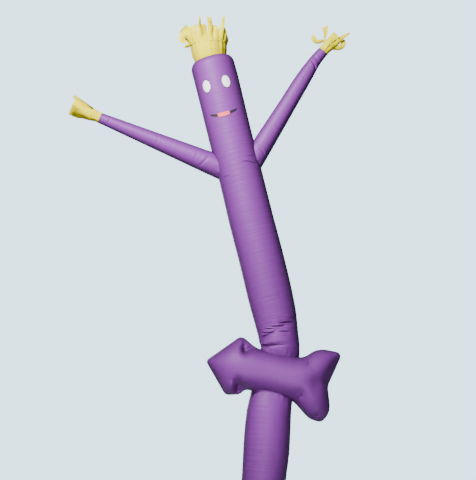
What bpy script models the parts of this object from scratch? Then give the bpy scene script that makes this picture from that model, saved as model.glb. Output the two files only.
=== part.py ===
"""An inflatable air dancer: a nylon tube man blown up to 6.1 m, with a puffed arrow sewn across its waist.

The frame stands on the floor under the middle of the figure. +X is to the viewer's right, +Y is away
from the viewer and +Z is up. All sizes are in metres, and the air holds the figure in the XZ plane.
"""

import collections
import math

import bmesh
import bpy
import numpy as np
from mathutils import Vector
from mathutils.geometry import delaunay_2d_cdt

# Cloth and seams
CLOTH = 0.003
SEAM_GAP = 0.0003
LAP = 0.002
WAIST_LAP = 0.012
FACE_CLOTH = 0.0015

# How finely the blown-up shapes are faceted
BODY_SIDES = 24
ARM_SIDES = 16
OUTLINE_STEP = 0.13
GRID_STEP = 0.085
PANEL_ROWS = ((0.012, 0.02), (0.040, 0.035), (0.085, 0.05))
CORNER_ROOM = 0.05

# The body tube is 18 inches across. Each section gives its centre and its radius at a height.
Section = collections.namedtuple("Section", "height sideways radius")
TUBE_RADIUS = 0.2286
LEG = (
    Section(0.00, 0.440, TUBE_RADIUS),
    Section(0.06, 0.440, TUBE_RADIUS),
    Section(0.12, 0.440, TUBE_RADIUS),
    Section(0.70, 0.490, 0.227),
    Section(1.41, 0.559, 0.221),
    Section(1.65, 0.580, 0.230),
    Section(1.85, 0.593, 0.229),
    Section(2.05, 0.611, 0.222),
    Section(2.16, 0.630, 0.216),
    Section(2.40, 0.665, 0.210),
)
TORSO = (
    Section(2.41, 0.700, 0.208),
    Section(2.58, 0.716, 0.207),
    Section(2.70, 0.720, 0.197),
    Section(2.80, 0.704, 0.202),
    Section(2.90, 0.687, 0.211),
    Section(3.00, 0.668, 0.219),
    Section(3.15, 0.634, 0.226),
    Section(3.56, 0.538, TUBE_RADIUS),
    Section(3.97, 0.433, 0.228),
    Section(4.38, 0.335, 0.225),
    Section(4.85, 0.216, 0.224),
    Section(5.22, 0.128, 0.226),
    Section(5.43, 0.077, 0.227),
    Section(5.59, 0.035, 0.226),
)
LEG_RINGS = (0.0, 0.06, 0.12, 0.41, 0.70, 1.05, 1.41, 1.53, 1.65, 1.85, 2.05, 2.16, 2.28, 2.40)
TORSO_RINGS = (
    *(2.41, 2.54, 2.61, 2.64, 2.67, 2.695, 2.72, 2.75, 2.78, 2.81, 2.84, 2.87, 2.90, 2.94, 3.00),
    *(3.08, 3.20, 3.38, 3.56, 3.77, 3.97, 4.16, 4.33),
)
HEAD_RINGS = (4.33, 4.48, 4.66, 4.84, 4.98, 5.10, 5.25, 5.43, 5.56)

# The rings of each tube that reach into the arrow
LEG_PASSAGE = slice(-5, None)
TORSO_PASSAGE = slice(0, 14)

# Where the waist bends, the slack cloth on the inside of the bend falls into slanting folds. A fold is
# deepest at its azimuth, which runs in degrees from the viewer's right (0) round the front (90). The leg
# is drawn in at the front and the back where it is sewn under the arrow's belly.
Fold = collections.namedtuple("Fold", "height azimuth climb depth width spread")
LEG_FOLDS = (
    Fold(2.28, 90, 0.0, 0.055, 0.16, 55),
    Fold(2.28, 270, 0.0, 0.055, 0.16, 55),
)
WAIST_FOLDS = (
    Fold(2.675, 125, 0.05, 0.020, 0.022, 48),
    Fold(2.800, 120, 0.07, 0.022, 0.026, 60),
    Fold(2.885, 80, 0.06, 0.010, 0.022, 45),
    Fold(2.735, 160, -0.02, -0.010, 0.030, 60),
)

# The head's shoulders round over to a top panel, with a hole that the hair's collar is sewn round.
SHOULDER_HEIGHT = 0.086
SHOULDER_STEPS = 4
HAIR_HOLE = 0.163

# The arms taper. A section's reach is its distance from the shoulder seam along the arm.
ArmSection = collections.namedtuple("ArmSection", "reach sideways height radius")
ARM_LEFT = (
    ArmSection(-0.200, 0.246, 4.458, 0.125),
    ArmSection(0.000, 0.062, 4.535, 0.117),
    ArmSection(0.640, -0.528, 4.782, 0.086),
    ArmSection(1.272, -1.112, 5.026, 0.055),
)
ARM_RIGHT = (
    ArmSection(-0.200, 0.392, 4.481, 0.113),
    ArmSection(0.000, 0.496, 4.652, 0.1085),
    ArmSection(0.560, 0.786, 5.131, 0.090),
    ArmSection(1.010, 1.019, 5.516, 0.074),
    ArmSection(1.100, 1.068, 5.592, 0.066),
    ArmSection(1.170, 1.110, 5.650, 0.061),
    ArmSection(1.272, 1.176, 5.728, 0.055),
)
ARM_LEFT_RINGS = (-0.20, 0.0, 0.12, 0.43, 0.74, 1.05, 1.272)
ARM_RIGHT_RINGS = (-0.20, 0.0, 0.12, 0.40, 0.70, 0.95, 1.05, 1.10, 1.17, 1.272)

# The arrow lies across the waist, its point up to the left. The outline's corners run round from the
# point, along and up from the arrow's middle, each with the length of edge that its rounding takes.
ARROW_CENTRE = (0.592, 2.411)
ARROW_TILT = math.radians(11.7)
ARROW_DEPTH = 0.28
SHAFT_HALF_HEIGHT = 0.215
Corner = collections.namedtuple("Corner", "along up rounding")
ARROW_OUTLINE = (
    Corner(-0.632, 0.000, 0.040),
    Corner(-0.330, 0.322, 0.060),
    Corner(-0.150, 0.222, 0.070),
    Corner(0.315, 0.222, 0.060),
    Corner(0.450, 0.352, 0.090),
    Corner(0.700, 0.355, 0.080),
    Corner(0.617, 0.000, 0.040),
    Corner(0.694, -0.245, 0.080),
    Corner(0.628, -0.370, 0.050),
    Corner(0.497, -0.360, 0.060),
    Corner(0.300, -0.213, 0.060),
    Corner(-0.180, -0.200, 0.030),
    Corner(-0.232, -0.262, 0.030),
    Corner(-0.368, -0.296, 0.040),
)

# Creases in the arrow's panels: straight troughs from one place to another. Each takes its share off the
# depth there, which falls off across it by its width.
Crease = collections.namedtuple("Crease", "along0 up0 along1 up1 share width")
ARROW_CREASES = (
    Crease(0.640, 0.000, 0.470, -0.010, 0.32, 0.070),
    Crease(0.340, 0.230, 0.400, 0.120, 0.14, 0.045),
    Crease(0.320, -0.230, 0.390, -0.130, 0.14, 0.045),
    Crease(-0.160, 0.230, -0.260, 0.150, 0.18, 0.045),
    Crease(-0.190, -0.210, -0.270, -0.120, 0.18, 0.045),
)

# The hair's collar flares as it rises and turns towards upright, and the cuffs stay straight. Both end
# in a short straight piece, so that their edges are square.
CuffSection = collections.namedtuple("CuffSection", "reach radius")
COLLAR = (
    CuffSection(0.000, 0.166),
    CuffSection(0.006, 0.166),
    CuffSection(0.070, 0.181),
    CuffSection(0.144, 0.188),
    CuffSection(0.150, 0.188),
)
COLLAR_LEAN = math.radians(-4)
CUFF = (
    CuffSection(0.000, 0.055),
    CuffSection(0.006, 0.055),
    CuffSection(0.036, 0.052),
    CuffSection(0.079, 0.062),
    CuffSection(0.085, 0.062),
)
BAND = 0.008

# The hair and the fingers are strips cut down from the edge of a cloth tube. Angles are in degrees:
# azimuth places the root as on the body, lean turns the root outwards, sway along the rim, bend is how
# far the strip has curled outwards at its tip, and twist how far it has turned about its own length. Tip
# is the width left at its end, as a share.
Strip = collections.namedtuple("Strip", "azimuth width length lean sway bend twist tip")
HAIR = (
    Strip(8, 0.060, 0.13, 2, 0, -65, 0, 0.9),
    Strip(28, 0.058, 0.16, 2, 4, -30, 10, 0.8),
    Strip(48, 0.055, 0.28, 4, -7, 0, 60, 0.4),
    Strip(65, 0.046, 0.17, 0, 0, -10, 20, 0.8),
    Strip(83, 0.060, 0.25, 0, -1, 4, 18, 0.8),
    Strip(100, 0.042, 0.07, 0, 0, -20, 0, 0.7),
    Strip(116, 0.056, 0.27, -2, 0, 0, 66, 0.25),
    Strip(134, 0.055, 0.19, 6, 6, 10, -14, 0.9),
    Strip(152, 0.055, 0.17, 30, 10, 40, 12, 0.8),
    Strip(169, 0.048, 0.14, 76, 4, 60, 10, 0.2),
    Strip(187, 0.058, 0.37, 6, 4, 290, 14, 0.9),
    Strip(206, 0.058, 0.23, 20, 0, 40, -12, 0.9),
    Strip(225, 0.058, 0.21, 12, 4, 20, 14, 0.9),
    Strip(244, 0.058, 0.24, 6, 8, 10, -10, 0.9),
    Strip(263, 0.058, 0.23, 4, -4, 20, 16, 0.9),
    Strip(282, 0.058, 0.25, 2, 4, 6, -12, 0.9),
    Strip(301, 0.058, 0.22, 0, -4, 4, 14, 0.8),
    Strip(320, 0.058, 0.20, 0, -8, -10, -8, 0.8),
    Strip(339, 0.058, 0.15, 0, -6, -30, 8, 0.8),
)
FINGERS_LEFT = (
    Strip(12, 0.052, 0.26, 14, 0, 4, 80, 0.7),
    Strip(70, 0.060, 0.225, 4, -6, 2, 14, 1.4),
    Strip(128, 0.060, 0.225, 2, 0, 2, -12, 1.4),
    Strip(188, 0.056, 0.24, 6, 2, -8, 35, 1.1),
    Strip(248, 0.060, 0.22, 4, -4, 4, -14, 1.4),
    Strip(308, 0.060, 0.21, 3, 4, 0, 12, 1.4),
)
FINGERS_RIGHT = (
    Strip(0, 0.050, 0.17, 52, 0, -120, 60, 1.2),
    Strip(60, 0.060, 0.25, 6, -8, 10, 14, 0.15),
    Strip(120, 0.060, 0.13, 2, -8, -20, 10, 1.2),
    Strip(174, 0.044, 0.155, 128, 0, -130, 60, 1.2),
    Strip(222, 0.046, 0.22, 44, -10, -6, 85, 1.5),
    Strip(288, 0.060, 0.14, 5, 6, -14, 10, 1.1),
)
STRIP_STEPS = 7

# The face is cut from thin cloth and sewn on. Its pieces are placed by azimuth and by level, the
# height of the tube's centre where they sit.
EYE_LEVEL = 5.342
EYE_AZIMUTHS = (("eye_left", 123), ("eye_right", 69))
EYE_HALF_WIDTH = 0.050
EYE_HALF_HEIGHT = 0.069
EYE_COLUMNS = 15
EYE_BLUNT = math.radians(12)
MOUTH_LEVEL = 5.052
MOUTH_AZIMUTH = 95
MOUTH_HALF_ANGLE = 37
LIP_HALF_ANGLE = 16
SMILE = 0.032
MOUTH_HALF_THICKNESS = 0.014
LIP_HALF_THICKNESS = 0.021


def clear_scene():
    """Takes out what a new file holds."""
    for thing in list(bpy.data.objects):
        bpy.data.objects.remove(thing)


def nylon(name, colour, roughness=0.5):
    """A plain nylon cloth of this colour."""
    made = bpy.data.materials.new(name)
    made.use_nodes = True
    shader = made.node_tree.nodes["Principled BSDF"]
    shader.inputs["Base Color"].default_value = (*colour, 1.0)
    shader.inputs["Roughness"].default_value = roughness
    shader.inputs["Metallic"].default_value = 0.0
    return made


def add_object(name, points, faces, material=None):
    """An object from points and faces. Without a material it is a cutter, which shows as wire only."""
    mesh = bpy.data.meshes.new(name)
    mesh.from_pydata([tuple(map(float, point)) for point in points], [], faces)
    mesh.validate()
    mesh.shade_smooth()
    made = bpy.data.objects.new(name, mesh)
    bpy.context.scene.collection.objects.link(made)
    if material:
        mesh.materials.append(material)
        mesh.set_sharp_from_angle(angle=math.radians(50))
    else:
        made.hide_render = True
        made.display_type = "WIRE"
    return made


def face_outwards(thing):
    """Turns the faces of a closed mesh to point out."""
    work = bmesh.new()
    work.from_mesh(thing.data)
    bmesh.ops.recalc_face_normals(work, faces=work.faces)
    work.to_mesh(thing.data)
    work.free()


def thicken(thing, thickness, outwards=False):
    """Gives a sheet its thickness, on its inner side unless it lies on another cloth."""
    shell = thing.modifiers.new("cloth", "SOLIDIFY")
    shell.thickness = thickness
    shell.offset = 1.0 if outwards else -1.0
    shell.use_even_offset = True


def swell(thing, distance):
    """Moves a closed surface out along its normals."""
    push = thing.modifiers.new("clearance", "DISPLACE")
    push.direction = "NORMAL"
    push.mid_level = 0.0
    push.strength = distance


def cut(thing, cutter):
    """Takes the cutter's space out of the thing."""
    seam = thing.modifiers.new(cutter.name, "BOOLEAN")
    seam.operation = "DIFFERENCE"
    seam.object = cutter


def join(thing, other):
    """Makes one closed body of the two."""
    union = thing.modifiers.new(other.name, "BOOLEAN")
    union.operation = "UNION"
    union.object = other


def through(rows, places):
    """The rows' later columns on a smooth curve through them, at these places along the first column.

    Between two rows it is a cubic whose slope at each row is the slope across that row's neighbours.
    """
    table = np.array(rows, float)
    places = np.asarray(places, float)
    where, values = table[:, 0], table[:, 1:]
    slopes = np.gradient(values, where, axis=0)
    low = np.clip(np.searchsorted(where, places, side="right") - 1, 0, len(where) - 2)
    span = (where[low + 1] - where[low])[:, None]
    t = (places - where[low])[:, None] / span
    ease = t * t * (3 - 2 * t)
    rise = slopes[low] * t * (1 - t) ** 2 - slopes[low + 1] * t * t * (1 - t)
    return values[low] * (1 - ease) + values[low + 1] * ease + span * rise


def unit(vectors):
    """The vectors, each made 1 long."""
    return vectors / np.linalg.norm(vectors, axis=-1, keepdims=True)


def sides_of(along):
    """The sideways direction of rings about these directions, which lie in the XZ plane."""
    return np.stack([along[..., 2], np.zeros_like(along[..., 0]), -along[..., 0]], axis=-1)


FRONT = np.array([0.0, -1.0, 0.0])
NEAR = 0.005


def body_spine(rows, heights):
    """Centres, directions and radii of the body tube at these heights."""
    heights = np.asarray(heights, float)
    sideways, radii = through(rows, heights).T
    centres = np.stack([sideways, np.zeros_like(heights), heights], axis=1)
    shift = through(rows, heights + NEAR)[:, 0] - through(rows, heights - NEAR)[:, 0]
    along = np.stack([shift / (2 * NEAR), np.zeros_like(heights), np.ones_like(heights)], axis=1)
    return centres, unit(along), radii


def arm_spine(rows, reaches):
    """Centres, directions and radii of an arm at these reaches."""
    sideways, heights, radii = through(rows, reaches).T
    centres = np.stack([sideways, np.zeros_like(heights), heights], axis=1)
    return centres, unit(np.gradient(centres, reaches, axis=0)), radii


def rings(centres, along, radii, count):
    """Points of rings about the centres. The radii may differ round each ring."""
    angles = 2 * np.pi * np.arange(count) / count
    angles = angles[None, :, None]
    spokes = np.cos(angles) * sides_of(along)[:, None] + np.sin(angles) * FRONT
    radii = np.broadcast_to(np.reshape(radii, (len(centres), -1)), (len(centres), count))
    return centres[:, None] + radii[..., None] * spokes


def tube_faces(ring_count, count, capped=False):
    """Faces between rings of this many points, pointing out. The end rings may be closed."""
    faces = []
    for ring in range(ring_count - 1):
        for j in range(count):
            after = (j + 1) % count
            low, high = ring * count, (ring + 1) * count
            faces.append((low + j, high + j, high + after, low + after))
    if capped:
        faces.append(tuple(range(count)))
        top = (ring_count - 1) * count
        faces.append(tuple(reversed(range(top, top + count))))
    return faces


def tube(name, spine, count, material=None):
    """An open cloth tube, or with no material a closed cutter, about the spine."""
    points = rings(*spine, count)
    faces = tube_faces(len(points), count, capped=material is None)
    made = add_object(name, points.reshape(-1, 3), faces, material)
    if material:
        thicken(made, CLOTH)
    return made


def inset(spine, by):
    """The spine of a tube that lies inside this one."""
    centres, along, radii = spine
    return centres, along, radii - by


def fold_depths(heights, folds):
    """How far the folds draw the cloth in, on each ring and side.

    A fold is a trough along a line that climbs round the tube: the depth falls off across the line by
    its width, and along it by its spread, both as the exponential of minus the square.
    """
    azimuths = 360 * np.arange(BODY_SIDES) / BODY_SIDES
    drawn = np.zeros((len(heights), BODY_SIDES))
    for fold in folds:
        round_by = (azimuths - fold.azimuth + 180) % 360 - 180
        line = fold.height - fold.climb * round_by / 60
        across = (np.asarray(heights)[:, None] - line) / fold.width
        drawn += fold.depth * np.exp(-(across**2) - (round_by / fold.spread) ** 2)
    return drawn


def head_shoulders():
    """Rings that round the head over to its top panel: a quarter of an ellipse turned about the spine."""
    centres, along, radii = body_spine(TORSO, (HEAD_RINGS[-1] - 0.02, HEAD_RINGS[-1]))
    turns = np.radians(90) * np.arange(1, SHOULDER_STEPS + 1) / SHOULDER_STEPS
    tops = centres[-1] + SHOULDER_HEIGHT * np.sin(turns)[:, None] * along[-1]
    widths = HAIR_HOLE + (radii[-1] - HAIR_HOLE) * np.cos(turns)
    return tops, np.tile(along[-1], (SHOULDER_STEPS, 1)), widths


def torso_tube(material):
    """The body above the arrow, with the waist's folds."""
    centres, along, radii = body_spine(TORSO, TORSO_RINGS)
    folded = radii[:, None] - fold_depths(TORSO_RINGS, WAIST_FOLDS)
    return tube("torso_tube", (centres, along, folded), BODY_SIDES, material)


def head_tube(material):
    """The body from the chest seam up, with the head's shoulders and the hole for the hair."""
    centres, along, radii = body_spine(TORSO, HEAD_RINGS)
    centres[0] += SEAM_GAP * along[0]
    top_centres, top_along, top_radii = head_shoulders()
    along[-1] = top_along[0]
    spine = (
        np.concatenate([centres, top_centres]),
        np.concatenate([along, top_along]),
        np.concatenate([radii, top_radii]),
    )
    return tube("head_tube", spine, BODY_SIDES, material)


def rounded_outline():
    """The arrow's outline: each corner is a curve between the points where its rounding begins and ends."""
    corners = np.array([corner[:2] for corner in ARROW_OUTLINE])
    points = []
    for at, corner in enumerate(ARROW_OUTLINE):
        before, here, after = corners[at - 1], corners[at], corners[(at + 1) % len(corners)]
        start = here + corner.rounding * unit(before - here)
        end = here + corner.rounding * unit(after - here)
        if points:
            gap = np.linalg.norm(start - points[-1])
            pieces = max(1, round(gap / OUTLINE_STEP))
            points += [points[-1] + (start - points[-1]) * k / pieces for k in range(1, pieces)]
        for t in (0.0, 1 / 3, 2 / 3, 1.0):
            points.append((1 - t) ** 2 * start + 2 * t * (1 - t) * here + t**2 * end)
    gap = np.linalg.norm(points[0] - points[-1])
    pieces = max(1, round(gap / OUTLINE_STEP))
    last = points[-1]
    points += [last + (points[0] - last) * k / pieces for k in range(1, pieces)]
    return np.array(points)


def inside(outline, spots):
    """Whether each spot lies inside the outline, by counting the edges to its right."""
    along, up = spots[..., 0], spots[..., 1]
    found = np.zeros(along.shape, bool)
    for (a0, u0), (a1, u1) in zip(outline, np.roll(outline, -1, axis=0)):
        spans = (u0 > up) != (u1 > up)
        rise = u1 - u0 if u1 != u0 else 1.0
        found ^= spans & (along < a0 + (up - u0) * (a1 - a0) / rise)
    return found


def distance_to(outline, spots):
    """Shortest distance from each spot to the closed outline."""
    edges = np.roll(outline, -1, axis=0) - outline
    away = spots[:, None] - outline[None]
    share = np.clip((away * edges).sum(axis=-1) / (edges * edges).sum(axis=-1), 0, 1)
    return np.linalg.norm(away - share[..., None] * edges, axis=-1).min(axis=1)


def panel_spots(outline):
    """Points of one panel: its outline, rows just inside it where the cloth curves most, and a grid.

    A point is kept where it has room, so the rows thin out by themselves in the corners.
    """
    corners = np.array([corner[:2] for corner in ARROW_OUTLINE])
    ahead = unit(np.roll(outline, -1, axis=0) - np.roll(outline, 1, axis=0))
    inwards = np.stack([ahead[:, 1], -ahead[:, 0]], axis=1)
    low, high = outline.min(axis=0), outline.max(axis=0)
    grid = []
    for row, up in enumerate(np.arange(low[1], high[1], GRID_STEP * math.sqrt(3) / 2)):
        start = low[0] + GRID_STEP / 2 * (row % 2)
        grid += [(along, up) for along in np.arange(start, high[0], GRID_STEP)]
    kept = list(outline)
    rows = [(outline + inset_by * inwards, inset_by, room) for inset_by, room in PANEL_ROWS]
    for spots, depth, room in (*rows, (np.array(grid), PANEL_ROWS[-1][0] + GRID_STEP / 2, GRID_STEP / 2)):
        clear = inside(outline, spots) & (distance_to(outline, spots) > 0.85 * depth)
        clear &= np.linalg.norm(spots[:, None] - corners, axis=2).min(axis=1) > CORNER_ROOM
        for spot in spots[clear]:
            if np.linalg.norm(np.array(kept[len(outline) :] or [(9, 9)]) - spot, axis=1).min() > room:
                kept.append(spot)
    return np.array(kept)


class AirPressure:
    """How far air lifts a panel that is held at its outline.

    The panel is a grid of square cells. Each cell settles at the mean of its four neighbours plus a
    quarter of the cell's area, which is a membrane under even pressure, and cells outside stay at 0.
    The square root of that height has the round profile of a blown-up tube.
    """

    CELL = 0.008
    ROUNDS = 5000
    EDGE = 0.020

    def __init__(self, outline):
        self.outline = outline
        self.low = outline.min(axis=0) - 2 * self.CELL
        counts = np.ceil((outline.max(axis=0) - self.low) / self.CELL).astype(int) + 3
        places = np.stack(np.meshgrid(*map(np.arange, counts), indexing="ij"), axis=-1)
        open_cells = inside(outline, self.low + places * self.CELL)
        lifted = np.zeros(counts)
        for _ in range(self.ROUNDS):
            across = np.roll(lifted, 1, axis=0) + np.roll(lifted, -1, axis=0)
            along = np.roll(lifted, 1, axis=1) + np.roll(lifted, -1, axis=1)
            lifted = np.where(open_cells, (across + along + self.CELL**2) / 4, 0.0)
        self.lifted = lifted

    def membrane(self, spots):
        """The membrane's height at each spot, between its four nearest cells."""
        place = (spots - self.low) / self.CELL
        cell = place.astype(int)
        part = place - cell
        total = 0.0
        for i in (0, 1):
            for j in (0, 1):
                weight = np.abs(1 - i - part[..., 0]) * np.abs(1 - j - part[..., 1])
                total = total + weight * self.lifted[cell[..., 0] + i, cell[..., 1] + j]
        return total

    def depths(self, spots):
        """The blown-up depth at each spot.

        The cells are too coarse by the outline. There the height is read further in, up the slope of
        the distance to the outline, and brought down in the ratio of the two distances.
        """
        away = distance_to(self.outline, spots)
        ahead, behind = [
            np.stack([distance_to(self.outline, spots + nudge) for nudge in nudges], axis=1)
            for nudges in (np.eye(2) * self.CELL / 2, -np.eye(2) * self.CELL / 2)
        ]
        inwards = (ahead - behind) / self.CELL
        reached = spots + inwards * np.maximum(self.EDGE - away, 0)[:, None]
        height = self.membrane(reached) * away / np.maximum(distance_to(self.outline, reached), 1e-9)
        return ARROW_DEPTH / SHAFT_HALF_HEIGHT * np.sqrt(2 * np.maximum(height, 0))


def creased(spots, depths):
    """The depths less the creases: a crease's share falls off as the exponential of minus the square."""
    for crease in ARROW_CREASES:
        start, end = np.array([crease[0:2], crease[2:4]])
        line = end - start
        reached = np.clip((spots - start) @ line / (line @ line), 0, 1)
        across = np.linalg.norm(spots - start - reached[:, None] * line, axis=1) / crease.width
        depths = depths * (1 - crease.share * np.exp(-(across**2)))
    return depths


def arrow_panel():
    """One blown-up panel of the arrow: its spots, their depths, its triangles and the outline's length."""
    outline = rounded_outline()
    spots = panel_spots(outline)
    depths = creased(spots, AirPressure(outline).depths(spots))
    depths[: len(outline)] = 0
    loop = [(j, (j + 1) % len(outline)) for j in range(len(outline))]
    _, _, triangles, came_from, _, _ = delaunay_2d_cdt([Vector(spot) for spot in spots], loop, [], 1, 1e-6)
    faces = [tuple(came_from[corner][0] for corner in triangle) for triangle in triangles]
    return spots, depths, faces, len(outline)


def arrow_mesh(name, panel, material=None):
    """The closed surface of the blown-up arrow: a front and a back panel that meet at the outline."""
    spots, depths, front_faces, edge = panel
    right = np.array([math.cos(ARROW_TILT), 0.0, -math.sin(ARROW_TILT)])
    up = np.array([math.sin(ARROW_TILT), 0.0, math.cos(ARROW_TILT)])
    centre = np.array([ARROW_CENTRE[0], 0.0, ARROW_CENTRE[1]])
    sheet = centre + spots[:, :1] * right + spots[:, 1:] * up
    front = sheet + depths[:, None] * FRONT
    back = sheet - depths[:, None] * FRONT
    inner = len(spots) - edge
    behind = [corner if corner < edge else corner + inner for corner in range(len(spots))]
    faces = front_faces + [tuple(behind[corner] for corner in reversed(face)) for face in front_faces]
    made = add_object(name, [*front, *back[edge:]], faces, material)
    face_outwards(made)
    return made


def cuff_spine(rows, start, first_lean, last_lean):
    """Centres, directions and radii of a short tube whose spine turns evenly from one lean to the other."""
    reaches, radii = np.array(rows).T
    leans = np.interp(reaches, (0, reaches[-1]), (first_lean, last_lean))
    along = np.stack([np.sin(leans), np.zeros_like(leans), np.cos(leans)], axis=1)
    moves = np.diff(reaches)[:, None] * (along[1:] + along[:-1]) / 2
    return start + np.concatenate([np.zeros((1, 3)), np.cumsum(moves, axis=0)]), along, radii


def turned(first, second, degrees):
    """Two directions at right angles, turned so that the first moves towards the second."""
    angle = np.radians(degrees)
    return (
        np.cos(angle) * first + np.sin(angle) * second,
        np.cos(angle) * second - np.sin(angle) * first,
    )


def strip_loops(strip, root, along, wide, out):
    """Four corners at each step up a strip: it leans at its root, twists evenly and curls towards its tip.

    It bends in one plane, by an angle that grows with the square of the distance from the root.
    """
    along, out = turned(along, out, strip.lean)
    along, wide = turned(along, wide, strip.sway)
    steps = np.arange(1, STRIP_STEPS + 1)[:, None] / STRIP_STEPS
    middles = steps - 0.5 / STRIP_STEPS
    ahead = turned(along, out, strip.bend * middles**2)[0]
    centres = root + np.cumsum(ahead, axis=0) * strip.length / STRIP_STEPS
    outwards = turned(along, out, strip.bend * steps**2)[1]
    across, facing = turned(wide, outwards, strip.twist * steps)
    halves = across * strip.width * (1 + (strip.tip - 1) * steps**2) / 2
    thick = facing * CLOTH / 2
    corners = (-halves + thick, halves + thick, halves - thick, -halves - thick)
    return np.stack([centres + corner for corner in corners], axis=1).reshape(-1, 3)


def fringe(name, start, along, radius, strips, material):
    """A narrow band round the tube's edge, with a strip growing from the band at each azimuth."""
    side = sides_of(along)
    strips = sorted(strips, key=lambda strip: strip.azimuth)
    points, faces = [], []
    edges = []
    for strip in strips:
        half = strip.width / radius / 2
        edges += [math.radians(strip.azimuth) - half, math.radians(strip.azimuth) + half]
    count = len(edges)
    for lift in (0.0, BAND):
        for reach in (radius, radius - CLOTH):
            for angle in edges:
                spoke = math.cos(angle) * side + math.sin(angle) * FRONT
                points.append(start + lift * along + reach * spoke)
    low_out, low_in, high_out, high_in = 0, count, 2 * count, 3 * count
    for j in range(count):
        k = (j + 1) % count
        faces.append((low_out + j, high_out + j, high_out + k, low_out + k))
        faces.append((low_in + k, high_in + k, high_in + j, low_in + j))
        faces.append((low_out + k, low_in + k, low_in + j, low_out + j))
        if j % 2:
            faces.append((high_out + j, high_in + j, high_in + k, high_out + k))
    for j, strip in enumerate(strips):
        first, second = 2 * j, 2 * j + 1
        root_loop = [high_out + first, high_out + second, high_in + second, high_in + first]
        root = sum(points[corner] for corner in root_loop) / 4
        angle = math.radians(strip.azimuth)
        out = math.cos(angle) * side + math.sin(angle) * FRONT
        wide = -math.sin(angle) * side + math.cos(angle) * FRONT
        loops = strip_loops(strip, root, along, wide, out)
        below = root_loop
        for step in range(STRIP_STEPS):
            above = [len(points) + 4 * step + corner for corner in range(4)]
            for a in range(4):
                b = (a + 1) % 4
                faces.append((below[a], above[a], above[b], below[b]))
            below = above
        faces.append(tuple(below))
        points.extend(loops)
    made = add_object(name, points, faces, material)
    face_outwards(made)
    return made


def head_points(azimuths, levels, lift):
    """Points over the head at these azimuths, in degrees, and levels, lifted off the tube.

    They lie on the straight lines between the tube's rings, as the tube's own cloth does.
    """
    azimuths = np.radians(np.asarray(azimuths, float))[:, None]
    centres, along, radii = body_spine(TORSO, HEAD_RINGS)
    side = sides_of(along)
    low = np.searchsorted(HEAD_RINGS, levels, side="right") - 1
    lower, upper = np.array(HEAD_RINGS)[low], np.array(HEAD_RINGS)[low + 1]
    share = ((levels - lower) / (upper - lower))[:, None]
    ends = []
    for ring in (low, low + 1):
        spokes = np.cos(azimuths) * side[ring] + np.sin(azimuths) * FRONT
        ends.append(centres[ring] + (radii[ring] + lift)[:, None] * spokes)
    return ends[0] * (1 - share) + ends[1] * share


def patch(name, azimuths, middle, half, lift, material):
    """A piece of face cloth from a lower to an upper edge, in columns narrow enough to clear the tube."""
    columns = len(azimuths)
    points = head_points(np.tile(azimuths, 2), np.concatenate([middle - half, middle + half]), lift)
    faces = [(j, j + columns, j + columns + 1, j + 1) for j in range(columns - 1)]
    made = add_object(name, points, faces, material)
    thicken(made, FACE_CLOTH, outwards=True)


def eye(name, azimuth, material):
    """A white oval. Its columns are closer together towards its ends, where the outline turns."""
    turns = np.linspace(np.pi - EYE_BLUNT, EYE_BLUNT, EYE_COLUMNS)
    azimuths = azimuth + np.degrees(EYE_HALF_WIDTH / TUBE_RADIUS * np.cos(turns))
    middle = np.full(EYE_COLUMNS, EYE_LEVEL)
    patch(name, azimuths, middle, EYE_HALF_HEIGHT * np.sin(turns), SEAM_GAP, material)


def smile(name, half_angle, half_thickness, ends, columns, lift, material):
    """A curved band of the mouth. Its middle line sinks as a parabola. Ends is the thickness left there."""
    places = np.linspace(-1, 1, columns)
    azimuths = MOUTH_AZIMUTH + half_angle * places
    droop = SMILE * (1 - (half_angle * places / MOUTH_HALF_ANGLE) ** 2)
    half = half_thickness * (1 - (1 - ends) * places**4)
    patch(name, azimuths, MOUTH_LEVEL - droop, half, lift, material)


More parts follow.
